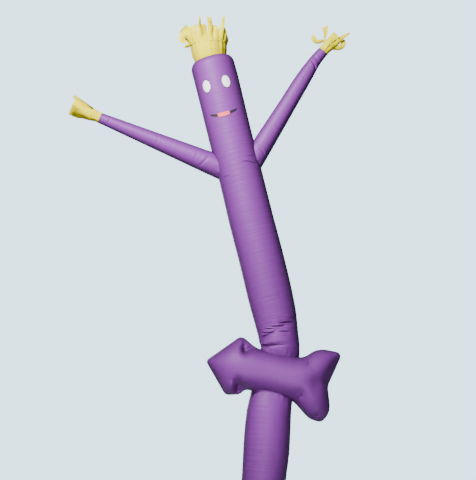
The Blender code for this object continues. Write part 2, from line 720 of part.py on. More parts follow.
def build():
    """Makes the whole figure."""
    clear_scene()
    purple = nylon("purple_nylon", (0.27, 0.11, 0.42))
    yellow = nylon("yellow_nylon", (0.95, 0.80, 0.04))
    white = nylon("white_nylon", (0.90, 0.90, 0.90))
    black = nylon("black_nylon", (0.03, 0.03, 0.035))
    pink = nylon("pink_nylon", (1.00, 0.36, 0.36))

    # The body and the arrow. The air in the arrow is one space with the air that passes up the tubes,
    # so taking that space out leaves the arrow's cloth, open where each tube is sewn to it.
    centres, along, radii = body_spine(LEG, LEG_RINGS)
    leg_spine = centres, along, radii[:, None] - fold_depths(LEG_RINGS, LEG_FOLDS)
    torso_spine = body_spine(TORSO, TORSO_RINGS)
    panel = arrow_panel()
    leg = tube("leg_tube", leg_spine, BODY_SIDES, purple)
    torso = torso_tube(purple)
    arrow = arrow_mesh("arrow", panel, purple)
    arrow_cutter = arrow_mesh("arrow_cutter", panel)
    swell(arrow_cutter, SEAM_GAP)
    cut(leg, arrow_cutter)
    cut(torso, arrow_cutter)
    passage = CLOTH + LAP
    low_passage = tuple(values[LEG_PASSAGE] for values in inset(leg_spine, passage))
    high_passage = tuple(values[TORSO_PASSAGE] for values in inset(torso_spine, passage + WAIST_LAP))
    air = arrow_mesh("arrow_air", panel)
    swell(air, -CLOTH)
    join(air, tube("leg_passage", low_passage, BODY_SIDES))
    join(air, tube("torso_passage", high_passage, BODY_SIDES))
    cut(arrow, air)

    # The head, the arms let into its sides, and their yellow hands
    head = head_tube(purple)
    head_cutter = tube("head_cutter", body_spine(TORSO, HEAD_RINGS), BODY_SIDES)
    swell(head_cutter, SEAM_GAP)
    for hand, rows, reaches, strips in (
        ("left", ARM_LEFT, ARM_LEFT_RINGS, FINGERS_LEFT),
        ("right", ARM_RIGHT, ARM_RIGHT_RINGS, FINGERS_RIGHT),
    ):
        spine = arm_spine(rows, reaches)
        arm = tube("arm_" + hand, spine, ARM_SIDES, purple)
        cut(arm, head_cutter)
        shoulder = tuple(values[:3] for values in inset(spine, passage))
        cut(head, tube("arm_passage_" + hand, shoulder, ARM_SIDES))
        centres, along, _ = spine
        wrist, forward = centres[-1], along[-1]
        lean = math.atan2(forward[0], forward[2])
        cuff = cuff_spine(CUFF, wrist + SEAM_GAP * forward, lean, lean)
        tube("cuff_" + hand, cuff, ARM_SIDES, yellow)
        finger_start = cuff[0][-1] + SEAM_GAP * forward
        fringe("fingers_" + hand, finger_start, forward, CUFF[-1].radius, strips, yellow)

    # The hair
    tops, top_along, _ = head_shoulders()
    lean = math.atan2(top_along[-1][0], top_along[-1][2])
    collar_start = tops[-1] + SEAM_GAP * top_along[-1]
    collar = cuff_spine(COLLAR, collar_start, lean, COLLAR_LEAN)
    tube("hair_collar", collar, BODY_SIDES, yellow)
    hair_along = collar[1][-1]
    hair_start = collar[0][-1] + SEAM_GAP * hair_along
    fringe("hair_fringe", hair_start, hair_along, COLLAR[-1].radius, HAIR, yellow)

    # The face
    for name, azimuth in EYE_AZIMUTHS:
        eye(name, azimuth, white)
    smile("mouth", MOUTH_HALF_ANGLE, MOUTH_HALF_THICKNESS, 0.25, 21, SEAM_GAP, black)
    over_mouth = FACE_CLOTH + 2 * SEAM_GAP
    smile("lip", LIP_HALF_ANGLE, LIP_HALF_THICKNESS, 0.8, 11, over_mouth, pink)


build()
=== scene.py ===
# An inflatable air dancer: a nylon tube man 6.1 m tall, blown up from below, with a puffed arrow sewn
# across its waist. Sizes are in metres. +X is to the viewer's right, +Y away from the viewer, +Z up, and
# the air holds the figure in the XZ plane. Azimuths run from the viewer's right (0) round the front (90).
import collections
import math

import bpy
import numpy as np
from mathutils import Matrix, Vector
from mathutils.geometry import delaunay_2d_cdt


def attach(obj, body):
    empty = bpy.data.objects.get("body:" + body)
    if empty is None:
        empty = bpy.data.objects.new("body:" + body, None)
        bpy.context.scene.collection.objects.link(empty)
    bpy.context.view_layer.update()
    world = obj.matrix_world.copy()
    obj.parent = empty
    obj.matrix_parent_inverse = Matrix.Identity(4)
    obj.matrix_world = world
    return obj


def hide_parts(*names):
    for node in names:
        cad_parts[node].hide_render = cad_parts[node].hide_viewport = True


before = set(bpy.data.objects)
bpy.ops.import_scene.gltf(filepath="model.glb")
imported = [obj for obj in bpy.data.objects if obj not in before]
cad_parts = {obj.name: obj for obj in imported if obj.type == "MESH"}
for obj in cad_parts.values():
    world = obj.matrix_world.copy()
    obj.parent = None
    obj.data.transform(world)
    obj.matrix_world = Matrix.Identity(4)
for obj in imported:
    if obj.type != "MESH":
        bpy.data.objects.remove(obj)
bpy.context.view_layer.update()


# The arrow. Two panels of purple nylon are cut to one outline and sewn edge to edge, and the body tubes
# are let into its lower and its upper edge, so that the same air puffs it up. Its point is up to the left.
Corner = collections.namedtuple("Corner", "along up rounding")
ARROW_OUTLINE = (
    Corner(-0.632, 0.000, 0.040),
    Corner(-0.330, 0.322, 0.060),
    Corner(-0.150, 0.222, 0.070),
    Corner(0.315, 0.222, 0.060),
    Corner(0.450, 0.352, 0.090),
    Corner(0.700, 0.355, 0.080),
    Corner(0.617, 0.000, 0.040),
    Corner(0.694, -0.245, 0.080),
    Corner(0.628, -0.370, 0.050),
    Corner(0.497, -0.360, 0.060),
    Corner(0.300, -0.213, 0.060),
    Corner(-0.180, -0.200, 0.030),
    Corner(-0.232, -0.262, 0.030),
    Corner(-0.368, -0.296, 0.040),
)
ARROW_MIDDLE = np.array([0.592, 0.0, 2.411])
ARROW_TILT = math.radians(11.7)
ARROW_RIGHT = np.array([math.cos(ARROW_TILT), 0.0, -math.sin(ARROW_TILT)])
ARROW_UP = np.array([math.sin(ARROW_TILT), 0.0, math.cos(ARROW_TILT)])
ARROW_DEPTH = 0.28
SHAFT_HALF_HEIGHT = 0.215
FRONT = np.array([0.0, -1.0, 0.0])
EDGE_STEP = 0.011
PANEL_ROWS = (0.0025, 0.007, 0.013, 0.021)
PANEL_PITCH = 0.0095
ROW_SHARE = 0.93
CLOTH = 0.0012

# Creases take a share off the depth along a line. They part the barbs and the tail's lobes from the shaft.
Crease = collections.namedtuple("Crease", "along0 up0 along1 up1 share width")
ARROW_CREASES = (
    Crease(0.640, 0.000, 0.520, -0.005, 0.15, 0.090),
    Crease(0.350, 0.245, 0.375, 0.190, 0.08, 0.060),
    Crease(0.310, -0.235, 0.360, -0.160, 0.10, 0.060),
    Crease(-0.160, 0.230, -0.250, 0.170, 0.18, 0.050),
    Crease(-0.200, -0.225, -0.265, -0.170, 0.22, 0.050),
)

# Tucks are finer: troughs of a real depth, or swells where it is negative. A ridge is cloth pushed up on
# the left of the line, and a negative one widens the trough there.
Tuck = collections.namedtuple("Tuck", "along0 up0 along1 up1 depth width ridge")
FRONT_TUCKS = (
    Tuck(-0.300, 0.300, -0.270, 0.172, 0.018, 0.018, -0.40),
    Tuck(-0.262, 0.166, -0.178, 0.240, 0.042, 0.026, -0.60),
    Tuck(-0.258, -0.180, -0.270, -0.292, 0.044, 0.022, -0.60),
    Tuck(-0.240, -0.268, -0.185, -0.205, 0.040, 0.036, 0.00),
    Tuck(-0.320, -0.300, -0.325, -0.190, -0.020, 0.028, 0.00),
    Tuck(-0.238, -0.168, -0.185, -0.160, 0.012, 0.016, 0.40),
    Tuck(0.357, 0.238, 0.381, 0.166, 0.016, 0.008, 0.50),
    Tuck(0.330, 0.220, 0.340, 0.190, 0.008, 0.008, 0.50),
    Tuck(0.252, 0.225, 0.262, 0.165, 0.006, 0.009, 0.40),
    Tuck(0.419, 0.141, 0.509, 0.089, 0.0025, 0.012, 0.60),
    Tuck(0.500, -0.362, 0.565, -0.305, 0.014, 0.020, 0.25),
    Tuck(0.600, 0.060, 0.655, 0.250, 0.020, 0.050, 0.00),
    Tuck(0.320, -0.225, 0.372, -0.160, 0.008, 0.012, 0.40),
    Tuck(-0.560, 0.050, -0.480, 0.020, 0.003, 0.012, 0.50),
)
BACK_TUCKS = (
    Tuck(-0.235, 0.262, -0.262, 0.170, 0.024, 0.022, 0.10),
    Tuck(-0.205, -0.235, -0.280, -0.175, 0.026, 0.024, 0.10),
    Tuck(0.350, 0.245, 0.392, 0.150, 0.012, 0.012, 0.40),
    Tuck(0.330, -0.225, 0.392, -0.150, 0.010, 0.012, 0.40),
    Tuck(0.500, 0.020, 0.410, 0.000, 0.010, 0.026, 0.10),
)


def unit(vectors):
    """The vectors, each made 1 long: v / |v|."""
    return vectors / np.linalg.norm(vectors, axis=-1, keepdims=True)


def rounded_outline(corners, step):
    """Points round an outline, about a step apart.

    At a corner they lie on (1 - t)^2 start + 2 t (1 - t) corner + t^2 end, between the places where its
    rounding begins and ends, and from there on the straight line to the next corner's rounding.
    """
    places = np.array([corner[:2] for corner in corners])
    pieces = []
    for at, corner in enumerate(corners):
        before, here, after = places[at - 1], places[at], places[(at + 1) % len(places)]
        following = corners[(at + 1) % len(corners)]
        start = here + corner.rounding * unit(before - here)
        end = here + corner.rounding * unit(after - here)
        further = after + following.rounding * unit(here - after)
        t = np.linspace(0, 1, max(5, round(1.7 * corner.rounding / step)), endpoint=False)[:, None]
        pieces.append((1 - t) ** 2 * start + 2 * t * (1 - t) * here + t**2 * end)
        t = np.linspace(0, 1, max(1, round(np.linalg.norm(further - end) / step)), endpoint=False)[:, None]
        pieces.append(end + (further - end) * t)
    return np.concatenate(pieces)


def inside(outline, spots):
    """Whether each spot lies inside the outline: an odd number of its edges cross the line to the right."""
    along, up = spots[..., 0], spots[..., 1]
    found = np.zeros(along.shape, bool)
    for (a0, u0), (a1, u1) in zip(outline, np.roll(outline, -1, axis=0)):
        spans = (u0 > up) != (u1 > up)
        rise = u1 - u0 if u1 != u0 else 1.0
        found ^= spans & (along < a0 + (up - u0) * (a1 - a0) / rise)
    return found


def nearest_on(outline, spots):
    """The outline's place nearest to each spot, how far away it is and how far round the outline it lies.

    On the edge from p to q it is p + s (q - p), with s = (spot - p).(q - p) / |q - p|^2 held to 0..1.
    """
    edges = np.roll(outline, -1, axis=0) - outline
    lengths = np.linalg.norm(edges, axis=1)
    gone = np.cumsum(lengths) - lengths
    share = np.clip(((spots[:, None] - outline) * edges).sum(axis=-1) / lengths**2, 0, 1)
    places = outline + share[..., None] * edges
    away = np.linalg.norm(spots[:, None] - places, axis=-1)
    row, best = np.arange(len(spots)), away.argmin(axis=1)
    return places[row, best], away[row, best], (gone + share * lengths)[row, best]


ARROW_EDGE = rounded_outline(ARROW_OUTLINE, EDGE_STEP)
CELL = 0.008
ROUNDS = 5000
LIFT_CORNER = ARROW_EDGE.min(axis=0) - 4 * CELL


def air_lift():
    """How far even pressure lifts a sheet that is held at the outline, on a grid of square cells.

    Each cell settles at the mean of its four neighbours plus a quarter of its area, and 0 outside.
    """
    counts = np.ceil((ARROW_EDGE.max(axis=0) - LIFT_CORNER) / CELL).astype(int) + 5
    grid = np.stack(np.meshgrid(*map(np.arange, counts), indexing="ij"), axis=-1)
    free = inside(ARROW_EDGE, LIFT_CORNER + CELL * grid)
    lifted = np.zeros(counts)
    for _ in range(ROUNDS):
        beside = np.roll(lifted, 1, axis=0) + np.roll(lifted, -1, axis=0)
        above = np.roll(lifted, 1, axis=1) + np.roll(lifted, -1, axis=1)
        lifted = np.where(free, (beside + above + CELL**2) / 4, 0.0)
    return lifted


LIFT = air_lift()
NEAR_EDGE = 0.020


def lift_at(spots):
    """The lift at each spot: the 16 cells round it, weighed by the cubic B-spline each way.

    With t from one cell to the next, the four weights are (1-t)^3, 3t^3-6t^2+4, the same of 1-t, and t^3,
    all over 6.
    """
    place = (spots - LIFT_CORNER) / CELL
    cell = np.floor(place).astype(int)
    t = place - cell
    left = 1 - t
    weights = np.stack([left**3, 3 * t**3 - 6 * t**2 + 4, 3 * left**3 - 6 * left**2 + 4, t**3])
    total = 0.0
    for i in range(4):
        for j in range(4):
            here = LIFT[cell[:, 0] + i - 1, cell[:, 1] + j - 1]
            total = total + weights[i, :, 0] * weights[j, :, 1] / 36 * here
    return total


def half_thickness(spots):
    """Half the arrow's thickness: DEPTH / HALF HEIGHT * sqrt(2 lift), less the share of each crease.

    Within NEAR_EDGE of the outline the lift is read that far in and brought down in proportion. Outside
    the outline it is 0.
    """
    held = inside(ARROW_EDGE, spots)
    place, away, _ = nearest_on(ARROW_EDGE, spots)
    inwards = (spots - place) / np.maximum(away, 1e-9)[:, None]
    reached = place + inwards * np.maximum(away, NEAR_EDGE)[:, None]
    lift = np.where(held, lift_at(np.where(held[:, None], reached, 0.0)), 0.0)
    depths = ARROW_DEPTH / SHAFT_HALF_HEIGHT * np.sqrt(2 * lift * np.minimum(1, away / NEAR_EDGE))
    for crease in ARROW_CREASES:
        start, end = np.array([crease[0:2], crease[2:4]])
        line = end - start
        share = np.clip((spots - start) @ line / (line @ line), 0, 1)
        across = np.linalg.norm(spots - start - share[:, None] * line, axis=1) / crease.width
        depths = depths * (1 - crease.share * np.exp(-(across**2)))
    return depths


def tucked(spots, tucks):
    """How far the tucks draw the cloth in: depth * (exp(-s^2) - ridge * exp(-(s - 1.7)^2)) * exp(-e^2).

    s is the distance to the left of the line and e the distance past its ends, both in widths.
    """
    drawn = np.zeros(len(spots))
    for tuck in tucks:
        start, end = np.array([tuck[0:2], tuck[2:4]])
        length = np.linalg.norm(end - start)
        ahead = (end - start) / length
        gone = (spots - start) @ ahead
        s = (spots - start) @ np.array([-ahead[1], ahead[0]]) / tuck.width
        e = np.maximum(np.maximum(-gone, gone - length), 0) / tuck.width
        shape = np.exp(-(s**2)) - tuck.ridge * np.exp(-((s - 1.7) ** 2))
        drawn += tuck.depth * shape * np.exp(-(e**2))
    return drawn


Wave = collections.namedtuple("Wave", "length size phase")
SEAM_PUCKERS = (
    Wave(0.061, 0.0016, 0.3),
    Wave(0.083, 0.0017, 2.1),
    Wave(0.037, 0.0010, 4.4),
)
PUCKER_REACH = 0.045
STITCH_REACH = 0.008


def puckered(gone, away):
    """Puckers at a seam: the sum of size * sin(2 pi gone / length + phase), gone being how far along it.

    It is times exp(-(away / PUCKER_REACH)^2) and 1 - exp(-away / STITCH_REACH), which is 0 at the seam.
    """
    waves = sum(wave.size * np.sin(2 * np.pi * gone / wave.length + wave.phase) for wave in SEAM_PUCKERS)
    return waves * np.exp(-((away / PUCKER_REACH) ** 2)) * (1 - np.exp(-away / STITCH_REACH))


def panel_spots():
    """Places on one panel: its outline, rows just inside it where the cloth turns most, and an even grid.

    The grid's rows are half a pitch out of step with each other, sqrt(3)/2 of a pitch apart. A place that
    comes nearer to the outline than ROW_SHARE of its row's depth is left out.
    """
    ahead = unit(np.roll(ARROW_EDGE, -1, axis=0) - np.roll(ARROW_EDGE, 1, axis=0))
    inwards = np.stack([ahead[:, 1], -ahead[:, 0]], axis=1)
    rows = [ARROW_EDGE + depth * inwards for depth in PANEL_ROWS]
    low, high = ARROW_EDGE.min(axis=0), ARROW_EDGE.max(axis=0)
    up, along = np.meshgrid(
        np.arange(low[1], high[1], PANEL_PITCH * math.sqrt(3) / 2),
        np.arange(low[0], high[0], PANEL_PITCH),
        indexing="ij",
    )
    along = along + PANEL_PITCH / 2 * (np.arange(len(along)) % 2)[:, None]
    grid = np.stack([along.ravel(), up.ravel()], axis=1)
    kept = [ARROW_EDGE]
    for spots, depth in (*zip(rows, PANEL_ROWS), (grid, PANEL_ROWS[-1] + PANEL_PITCH / 2)):
        spots = spots[inside(ARROW_EDGE, spots)]
        kept.append(spots[nearest_on(ARROW_EDGE, spots)[1] > ROW_SHARE * depth])
    return np.concatenate(kept)


def add_cloth(name, points, faces, cloth, seam, finish, thickness=CLOTH):
    """A sheet of cloth from points and faces, with its thickness on its inner side.

    Two UV maps go with it, both in metres: cloth says where each corner is on the cloth, and seam how far
    along the nearest seam it is and how far from it.
    """
    mesh = bpy.data.meshes.new(name)
    mesh.from_pydata(points.reshape(-1, 3).tolist(), [], faces)
    for layer, values in (("cloth", cloth), ("seam", seam)):
        uv = mesh.uv_layers.new(name=layer)
        uv.data.foreach_set("uv", np.ascontiguousarray(values, np.float32).ravel())
    mesh.materials.append(finish)
    mesh.shade_smooth()
    made = bpy.data.objects.new(name, mesh)
    bpy.context.scene.collection.objects.link(made)
    shell = made.modifiers.new("cloth", "SOLIDIFY")
    shell.thickness = thickness
    shell.offset = -1.0
    evened = made.modifiers.new("evened", "WEIGHTED_NORMAL")
    evened.weight = 100
    return made


def add_socket(group, name, kind, out=False):
    """A new socket on a node group."""
    return group.interface.new_socket(name=name, in_out="OUTPUT" if out else "INPUT", socket_type=kind)


def woven_nylon():
    """Every cloth's shared node group: weave, crinkles, uneven dye, stitches, bound edges, painted shade at
    seams.

    Lengths and heights are in metres. The weave is sin(x) sin(y) of the thread pitch, with thicker threads
    in squares, and every seam has two rows of stitches.
    """
    thread_pitch = 0.0012
    weave_height = 0.00003
    square = 0.0060
    half_bar = 0.0004
    bar_height = 0.00006
    stitch_rows = (0.006, 0.013)
    stitch_width = 0.0008
    stitch_length = 0.0048
    stitch_depth = 0.0004
    satin_pitch = 0.0016
    satin_height = 0.0003
    groove_shade_start = 0.0008
    groove_shade_end = 0.0035
    group = bpy.data.node_groups.new("woven_nylon", "ShaderNodeTree")
    for name, kind in (
        ("Cloth", "NodeSocketVector"),
        ("Seam", "NodeSocketVector"),
        ("Colour", "NodeSocketColor"),
        ("Thread", "NodeSocketColor"),
        ("Binding", "NodeSocketFloat"),
        ("Crinkle", "NodeSocketFloat"),
    ):
        add_socket(group, name, kind)
    for name, kind in (
        ("Colour", "NodeSocketColor"),
        ("Roughness", "NodeSocketFloat"),
        ("Height", "NodeSocketFloat"),
    ):
        add_socket(group, name, kind, out=True)
    nodes, links = group.nodes, group.links
    given = nodes.new("NodeGroupInput")
    made = nodes.new("NodeGroupOutput")

    def put(source, node, at):
        if isinstance(source, (int, float, tuple)):
            node.inputs[at].default_value = source
        else:
            links.new(source, node.inputs[at])

    def sum_of(operation, *terms):
        node = nodes.new("ShaderNodeMath")
        node.operation = operation
        for at, term in enumerate(terms):
            put(term, node, at)
        return node.outputs[0]

    def parts_of(vector):
        node = nodes.new("ShaderNodeSeparateXYZ")
        links.new(vector, node.inputs[0])
        return node.outputs[0], node.outputs[1]

    def noise(vector, stretch, detail):
        scaled = nodes.new("ShaderNodeVectorMath")
        scaled.operation = "MULTIPLY"
        links.new(vector, scaled.inputs[0])
        scaled.inputs[1].default_value = stretch
        node = nodes.new("ShaderNodeTexNoise")
        node.noise_dimensions = "2D"
        node.inputs["Scale"].default_value = 1.0
        node.inputs["Detail"].default_value = detail
        links.new(scaled.outputs[0], node.inputs["Vector"])
        return node.outputs[0]

    def fades(value, near, far):
        node = nodes.new("ShaderNodeMapRange")
        node.interpolation_type = "SMOOTHSTEP"
        put(value, node, 0)
        put(near, node, 1)
        put(far, node, 2)
        node.inputs[3].default_value = 1.0
        node.inputs[4].default_value = 0.0
        return node.outputs[0]

    def mixed(share, first, second, blend="MIX"):
        node = nodes.new("ShaderNodeMix")
        node.data_type = "RGBA"
        node.blend_type = blend
        put(share, node, 0)
        put(first, node, 6)
        put(second, node, 7)
        return node.outputs[2]

    x, y = parts_of(given.outputs["Cloth"])
    turn = 2 * math.pi / thread_pitch
    over = sum_of("SINE", sum_of("MULTIPLY", x, turn))
    under = sum_of("SINE", sum_of("MULTIPLY", y, turn))
    weave = sum_of("MULTIPLY", sum_of("MULTIPLY", over, under), weave_height)
    bars = sum_of(
        "MAXIMUM",
        fades(sum_of("PINGPONG", x, square / 2), half_bar / 2, half_bar),
        fades(sum_of("PINGPONG", y, square / 2), half_bar / 2, half_bar),
    )
    crinkles = noise(given.outputs["Cloth"], (9.0, 62.0, 1.0), 4.0)
    slack = noise(given.outputs["Cloth"], (2.3, 4.1, 1.0), 2.0)
    streaks = noise(given.outputs["Cloth"], (26.0, 4.0, 1.0), 3.0)
    dye = noise(given.outputs["Cloth"], (1.7, 1.1, 1.0), 3.0)

    gone, away = parts_of(given.outputs["Seam"])
    rows = 0.0
    for row in stitch_rows:
        off_row = sum_of("ABSOLUTE", sum_of("SUBTRACT", away, row))
        rows = sum_of("MAXIMUM", rows, fades(off_row, stitch_width, 1.6 * stitch_width))
    along = sum_of("PINGPONG", gone, stitch_length / 2)
    dashes = fades(along, 0.34 * stitch_length, 0.42 * stitch_length)
    stitches = sum_of("MULTIPLY", rows, dashes)
    # Painted shade: a mask for the groove along each seam, where the colour is darkened.
    seam_groove_shade = fades(away, groove_shade_start, groove_shade_end)
    bound = fades(away, sum_of("MULTIPLY", given.outputs["Binding"], 0.9), given.outputs["Binding"])
    satin = sum_of("SINE", sum_of("MULTIPLY", gone, 2 * math.pi / satin_pitch))
    satin = sum_of("MULTIPLY", satin, satin_height)

    shade = sum_of("ADD", 0.90, sum_of("MULTIPLY", dye, 0.20))
    shade = sum_of("ADD", shade, sum_of("MULTIPLY", sum_of("SUBTRACT", streaks, 0.5), 0.10))
    shade = sum_of("SUBTRACT", shade, sum_of("MULTIPLY", bars, 0.04))
    # Painted shade in the seam grooves takes up to a quarter off the colour.
    shade = sum_of("SUBTRACT", shade, sum_of("MULTIPLY", seam_groove_shade, 0.25))
    grey = nodes.new("ShaderNodeCombineColor")
    for at in range(3):
        links.new(shade, grey.inputs[at])
    dyed = mixed(1.0, given.outputs["Colour"], grey.outputs[0], "MULTIPLY")
    sewn = mixed(stitches, dyed, given.outputs["Thread"])
    links.new(mixed(bound, sewn, given.outputs["Thread"]), made.inputs["Colour"])

    gloss = sum_of("ADD", 0.46, sum_of("MULTIPLY", crinkles, 0.12))
    links.new(sum_of("ADD", gloss, sum_of("MULTIPLY", bound, 0.15)), made.inputs["Roughness"])
    wrinkled = sum_of("MULTIPLY", sum_of("MULTIPLY", crinkles, slack), given.outputs["Crinkle"])
    height = sum_of("ADD", weave, sum_of("MULTIPLY", bars, bar_height))
    height = sum_of("ADD", height, wrinkled)
    height = sum_of("SUBTRACT", height, sum_of("MULTIPLY", rows, stitch_depth))
    height = sum_of("ADD", height, sum_of("MULTIPLY", bound, satin))
    links.new(height, made.inputs["Height"])
    return group


WOVEN = woven_nylon()


def nylon(name, colour, thread, binding=0.0, crinkle=0.0016, sheen=0.02, deep=0.09, shine=0.18):
    """A finish of this colour, sewn with this thread.

    Painted edge shade: where the cloth turns away from the view its colour is times deep, its green 0.8
    deep.
    """
    finish = bpy.data.materials.new(name)
    finish.use_nodes = True
    nodes, links = finish.node_tree.nodes, finish.node_tree.links
    shader = nodes["Principled BSDF"]
    shader.inputs["Sheen Weight"].default_value = sheen
    shader.inputs["Sheen Roughness"].default_value = 0.4
    shader.inputs["Sheen Tint"].default_value = (*colour, 1.0)
    shader.inputs["Specular IOR Level"].default_value = shine
    weave = nodes.new("ShaderNodeGroup")
    weave.node_tree = WOVEN
    weave.inputs["Colour"].default_value = (*colour, 1.0)
    weave.inputs["Thread"].default_value = (*thread, 1.0)
    weave.inputs["Binding"].default_value = binding
    weave.inputs["Crinkle"].default_value = crinkle
    for layer, socket in (("cloth", "Cloth"), ("seam", "Seam")):
        uv = nodes.new("ShaderNodeUVMap")
        uv.uv_map = layer
        links.new(uv.outputs[0], weave.inputs[socket])
    bump = nodes.new("ShaderNodeBump")
    bump.inputs["Distance"].default_value = 1.0
    links.new(weave.outputs["Height"], bump.inputs["Height"])
    # Painted shade: the base colour is darkened where the cloth turns away from the view, standing for
    # shade at its edges.
    edge_shade_mask = nodes.new("ShaderNodeLayerWeight")
    edge_shade_mask.inputs["Blend"].default_value = 0.45
    edge_shaded = nodes.new("ShaderNodeMix")
    edge_shaded.data_type = "RGBA"
    edge_shaded.blend_type = "MULTIPLY"
    edge_shaded.inputs[7].default_value = (deep, deep * 0.8, deep, 1.0)
    links.new(edge_shade_mask.outputs["Facing"], edge_shaded.inputs[0])
    links.new(weave.outputs["Colour"], edge_shaded.inputs[6])
    links.new(edge_shaded.outputs[2], shader.inputs["Base Color"])
    links.new(weave.outputs["Roughness"], shader.inputs["Roughness"])
    links.new(bump.outputs[0], shader.inputs["Normal"])
    return finish


PURPLE = (0.150, 0.029, 0.222)
PURPLE_NYLON = nylon("purple_nylon", PURPLE, (0.10, 0.03, 0.15))


SEATED_REACH = 0.020
BACK_SHIFT = 0.4


def arrow():
    """Both panels: middle + along * right + up * up, with the half thickness to the front or the back.

    Tucks fade near the seam by 1 - exp(-(away / SEATED_REACH)^2), and the back's puckers lie BACK_SHIFT
    further along it than the front's.
    """
    spots = panel_spots()
    edge = len(ARROW_EDGE)
    loop = [(j, (j + 1) % edge) for j in range(edge)]
    places = [Vector(spot) for spot in spots]
    _, _, triangles, came_from, _, _ = delaunay_2d_cdt(places, loop, [], 1, 1e-7)
    front_faces = np.array([[came_from[corner][0] for corner in triangle] for triangle in triangles])
    _, away, gone = nearest_on(ARROW_EDGE, spots)
    away[:edge] = 0.0
    depths = half_thickness(spots)
    depths[:edge] = 0.0
    seated = 1 - np.exp(-((away / SEATED_REACH) ** 2))
    front = depths - tucked(spots, FRONT_TUCKS) * seated + puckered(gone, away)
    back = depths - tucked(spots, BACK_TUCKS) * seated + puckered(gone + BACK_SHIFT, away)
    sheet = ARROW_MIDDLE + spots[:, :1] * ARROW_RIGHT + spots[:, 1:] * ARROW_UP
    points = np.concatenate([sheet + front[:, None] * FRONT, (sheet - back[:, None] * FRONT)[edge:]])
    behind = np.arange(len(spots))
    behind[edge:] += len(spots) - edge
    faces = np.concatenate([front_faces, behind[front_faces][:, ::-1]])
    flat = np.concatenate([front_faces, front_faces[:, ::-1]])
    seam = np.stack([gone, away], axis=1)
    return add_cloth("puffed_arrow", points, faces.tolist(), spots[flat], seam[flat], PURPLE_NYLON)


puffed_arrow = arrow()
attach(puffed_arrow, "root")
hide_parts("arrow")


# The leg: the lower body tube, 18 inches across, cut from purple nylon with one long seam down its back.
# It is open below, with its hem on the floor, and is sewn into the arrow's lower edge.
Section = collections.namedtuple("Section", "height sideways radius")
TUBE_RADIUS = 0.2286
LEG = (
    Section(0.00, 0.440, TUBE_RADIUS),
    Section(0.06, 0.440, TUBE_RADIUS),
    Section(0.12, 0.440, TUBE_RADIUS),
    Section(0.70, 0.490, 0.227),
    Section(1.41, 0.559, 0.221),
    Section(1.65, 0.580, 0.230),
    Section(1.85, 0.593, 0.229),
    Section(2.05, 0.611, 0.222),
    Section(2.16, 0.630, 0.216),
    Section(2.40, 0.665, 0.210),
)
Fold = collections.namedtuple("Fold", "height azimuth climb depth width spread")
LEG_FOLDS = (
    Fold(2.28, 90, 0.0, 0.055, 0.16, 55),
    Fold(2.28, 270, 0.0, 0.055, 0.16, 55),
)
LEG_RINGS = 250
LEG_RIPPLE = 2.2
LEG_CALM = 0.3
BODY_COLUMNS = 160
SEAM_LAP = 0.006
SEAM_STEP = 0.004
BACK_SEAM = 270


def through(rows, places):
    """The rows' later columns on a smooth curve through them, at these places along the first column.

    Between two rows, with t from 0 to 1, it is v0 (1 - e) + v1 e + span (m0 t (1-t)^2 - m1 t^2 (1-t)).
    There e = t^2 (3 - 2t), and m is the slope across a row's neighbours.
    """
    table = np.array(rows, float)
    where, values = table[:, 0], table[:, 1:]
    slopes = np.gradient(values, where, axis=0)
    low = np.clip(np.searchsorted(where, places, side="right") - 1, 0, len(where) - 2)
    span = (where[low + 1] - where[low])[..., None]
    t = (places - where[low])[..., None] / span
    ease = t * t * (3 - 2 * t)
    rise = slopes[low] * t * (1 - t) ** 2 - slopes[low + 1] * t * t * (1 - t)
    return values[low] * (1 - ease) + values[low + 1] * ease + span * rise


NEAR = 0.005


def body_spine(rows, heights):
    """Centre, direction and radius of the body tube at each height.

    The direction is (dx/dz, 0, 1), made 1 long.
    """
    sideways, radii = np.moveaxis(through(rows, heights), -1, 0)
    level = np.zeros_like(heights)
    shift = (through(rows, heights + NEAR) - through(rows, heights - NEAR))[..., 0] / (2 * NEAR)
    along = unit(np.stack([shift, level, np.ones_like(heights)], axis=-1))
    return np.stack([sideways, level, heights], axis=-1), along, radii


def sides_of(along):
    """The sideways direction of a ring about each direction: (z, 0, -x)."""
    return np.stack([along[..., 2], np.zeros_like(along[..., 0]), -along[..., 0]], axis=-1)


def round_tube(centres, along, radii, azimuths):
    """centre + radius * (cos(azimuth) * side + sin(azimuth) * front), for azimuths in degrees."""
    angles = np.radians(azimuths)[..., None]
    spokes = np.cos(angles) * sides_of(along) + np.sin(angles) * FRONT
    return centres + radii[..., None] * spokes


def azimuths_of(columns):
    """Even azimuths round a tube, from the seam at its back."""
    return BACK_SEAM + 360 * np.arange(columns) / columns


def round_by(azimuths, azimuth):
    """How far round each azimuth is from this one, between -180 and 180 degrees."""
    return (azimuths - azimuth + 180) % 360 - 180


def folded(heights, azimuths, folds):
    """How far the folds draw a tube in: depth * exp(-((z - line) / width)^2 - (round / spread)^2).

    The line climbs as it runs round: height - climb * round / 60.
    """
    drawn = np.zeros(np.broadcast(heights, azimuths).shape)
    for fold in folds:
        away = round_by(azimuths, fold.azimuth)
        across = (heights - fold.height + fold.climb * away / 60) / fold.width
        drawn += fold.depth * np.exp(-(across**2) - (away / fold.spread) ** 2)
    return drawn


LEVEL_RIPPLES = (
    Wave(0.029, 0.00030, 0.4),
    Wave(0.037, 0.00032, 2.9),
    Wave(0.053, 0.00035, 5.1),
    Wave(0.110, 0.00035, 1.2),
)


def rippled(heights, azimuths):
    """Level wrinkles that come and go round a tube where its cloth is slack lengthwise.

    Each is size * sin(2 pi z / length + phase + 1.5 sin(a + phase)) * (0.6 + 0.4 sin(3a + 5z + phase)).
    """
    a = np.radians(azimuths)
    total = 0.0
    for wave in LEVEL_RIPPLES:
        swing = 2 * np.pi * heights / wave.length + wave.phase + 1.5 * np.sin(a + wave.phase)
        strength = 0.6 + 0.4 * np.sin(3 * a + 5 * heights + wave.phase)
        total = total + wave.size * np.sin(swing) * strength
    return total


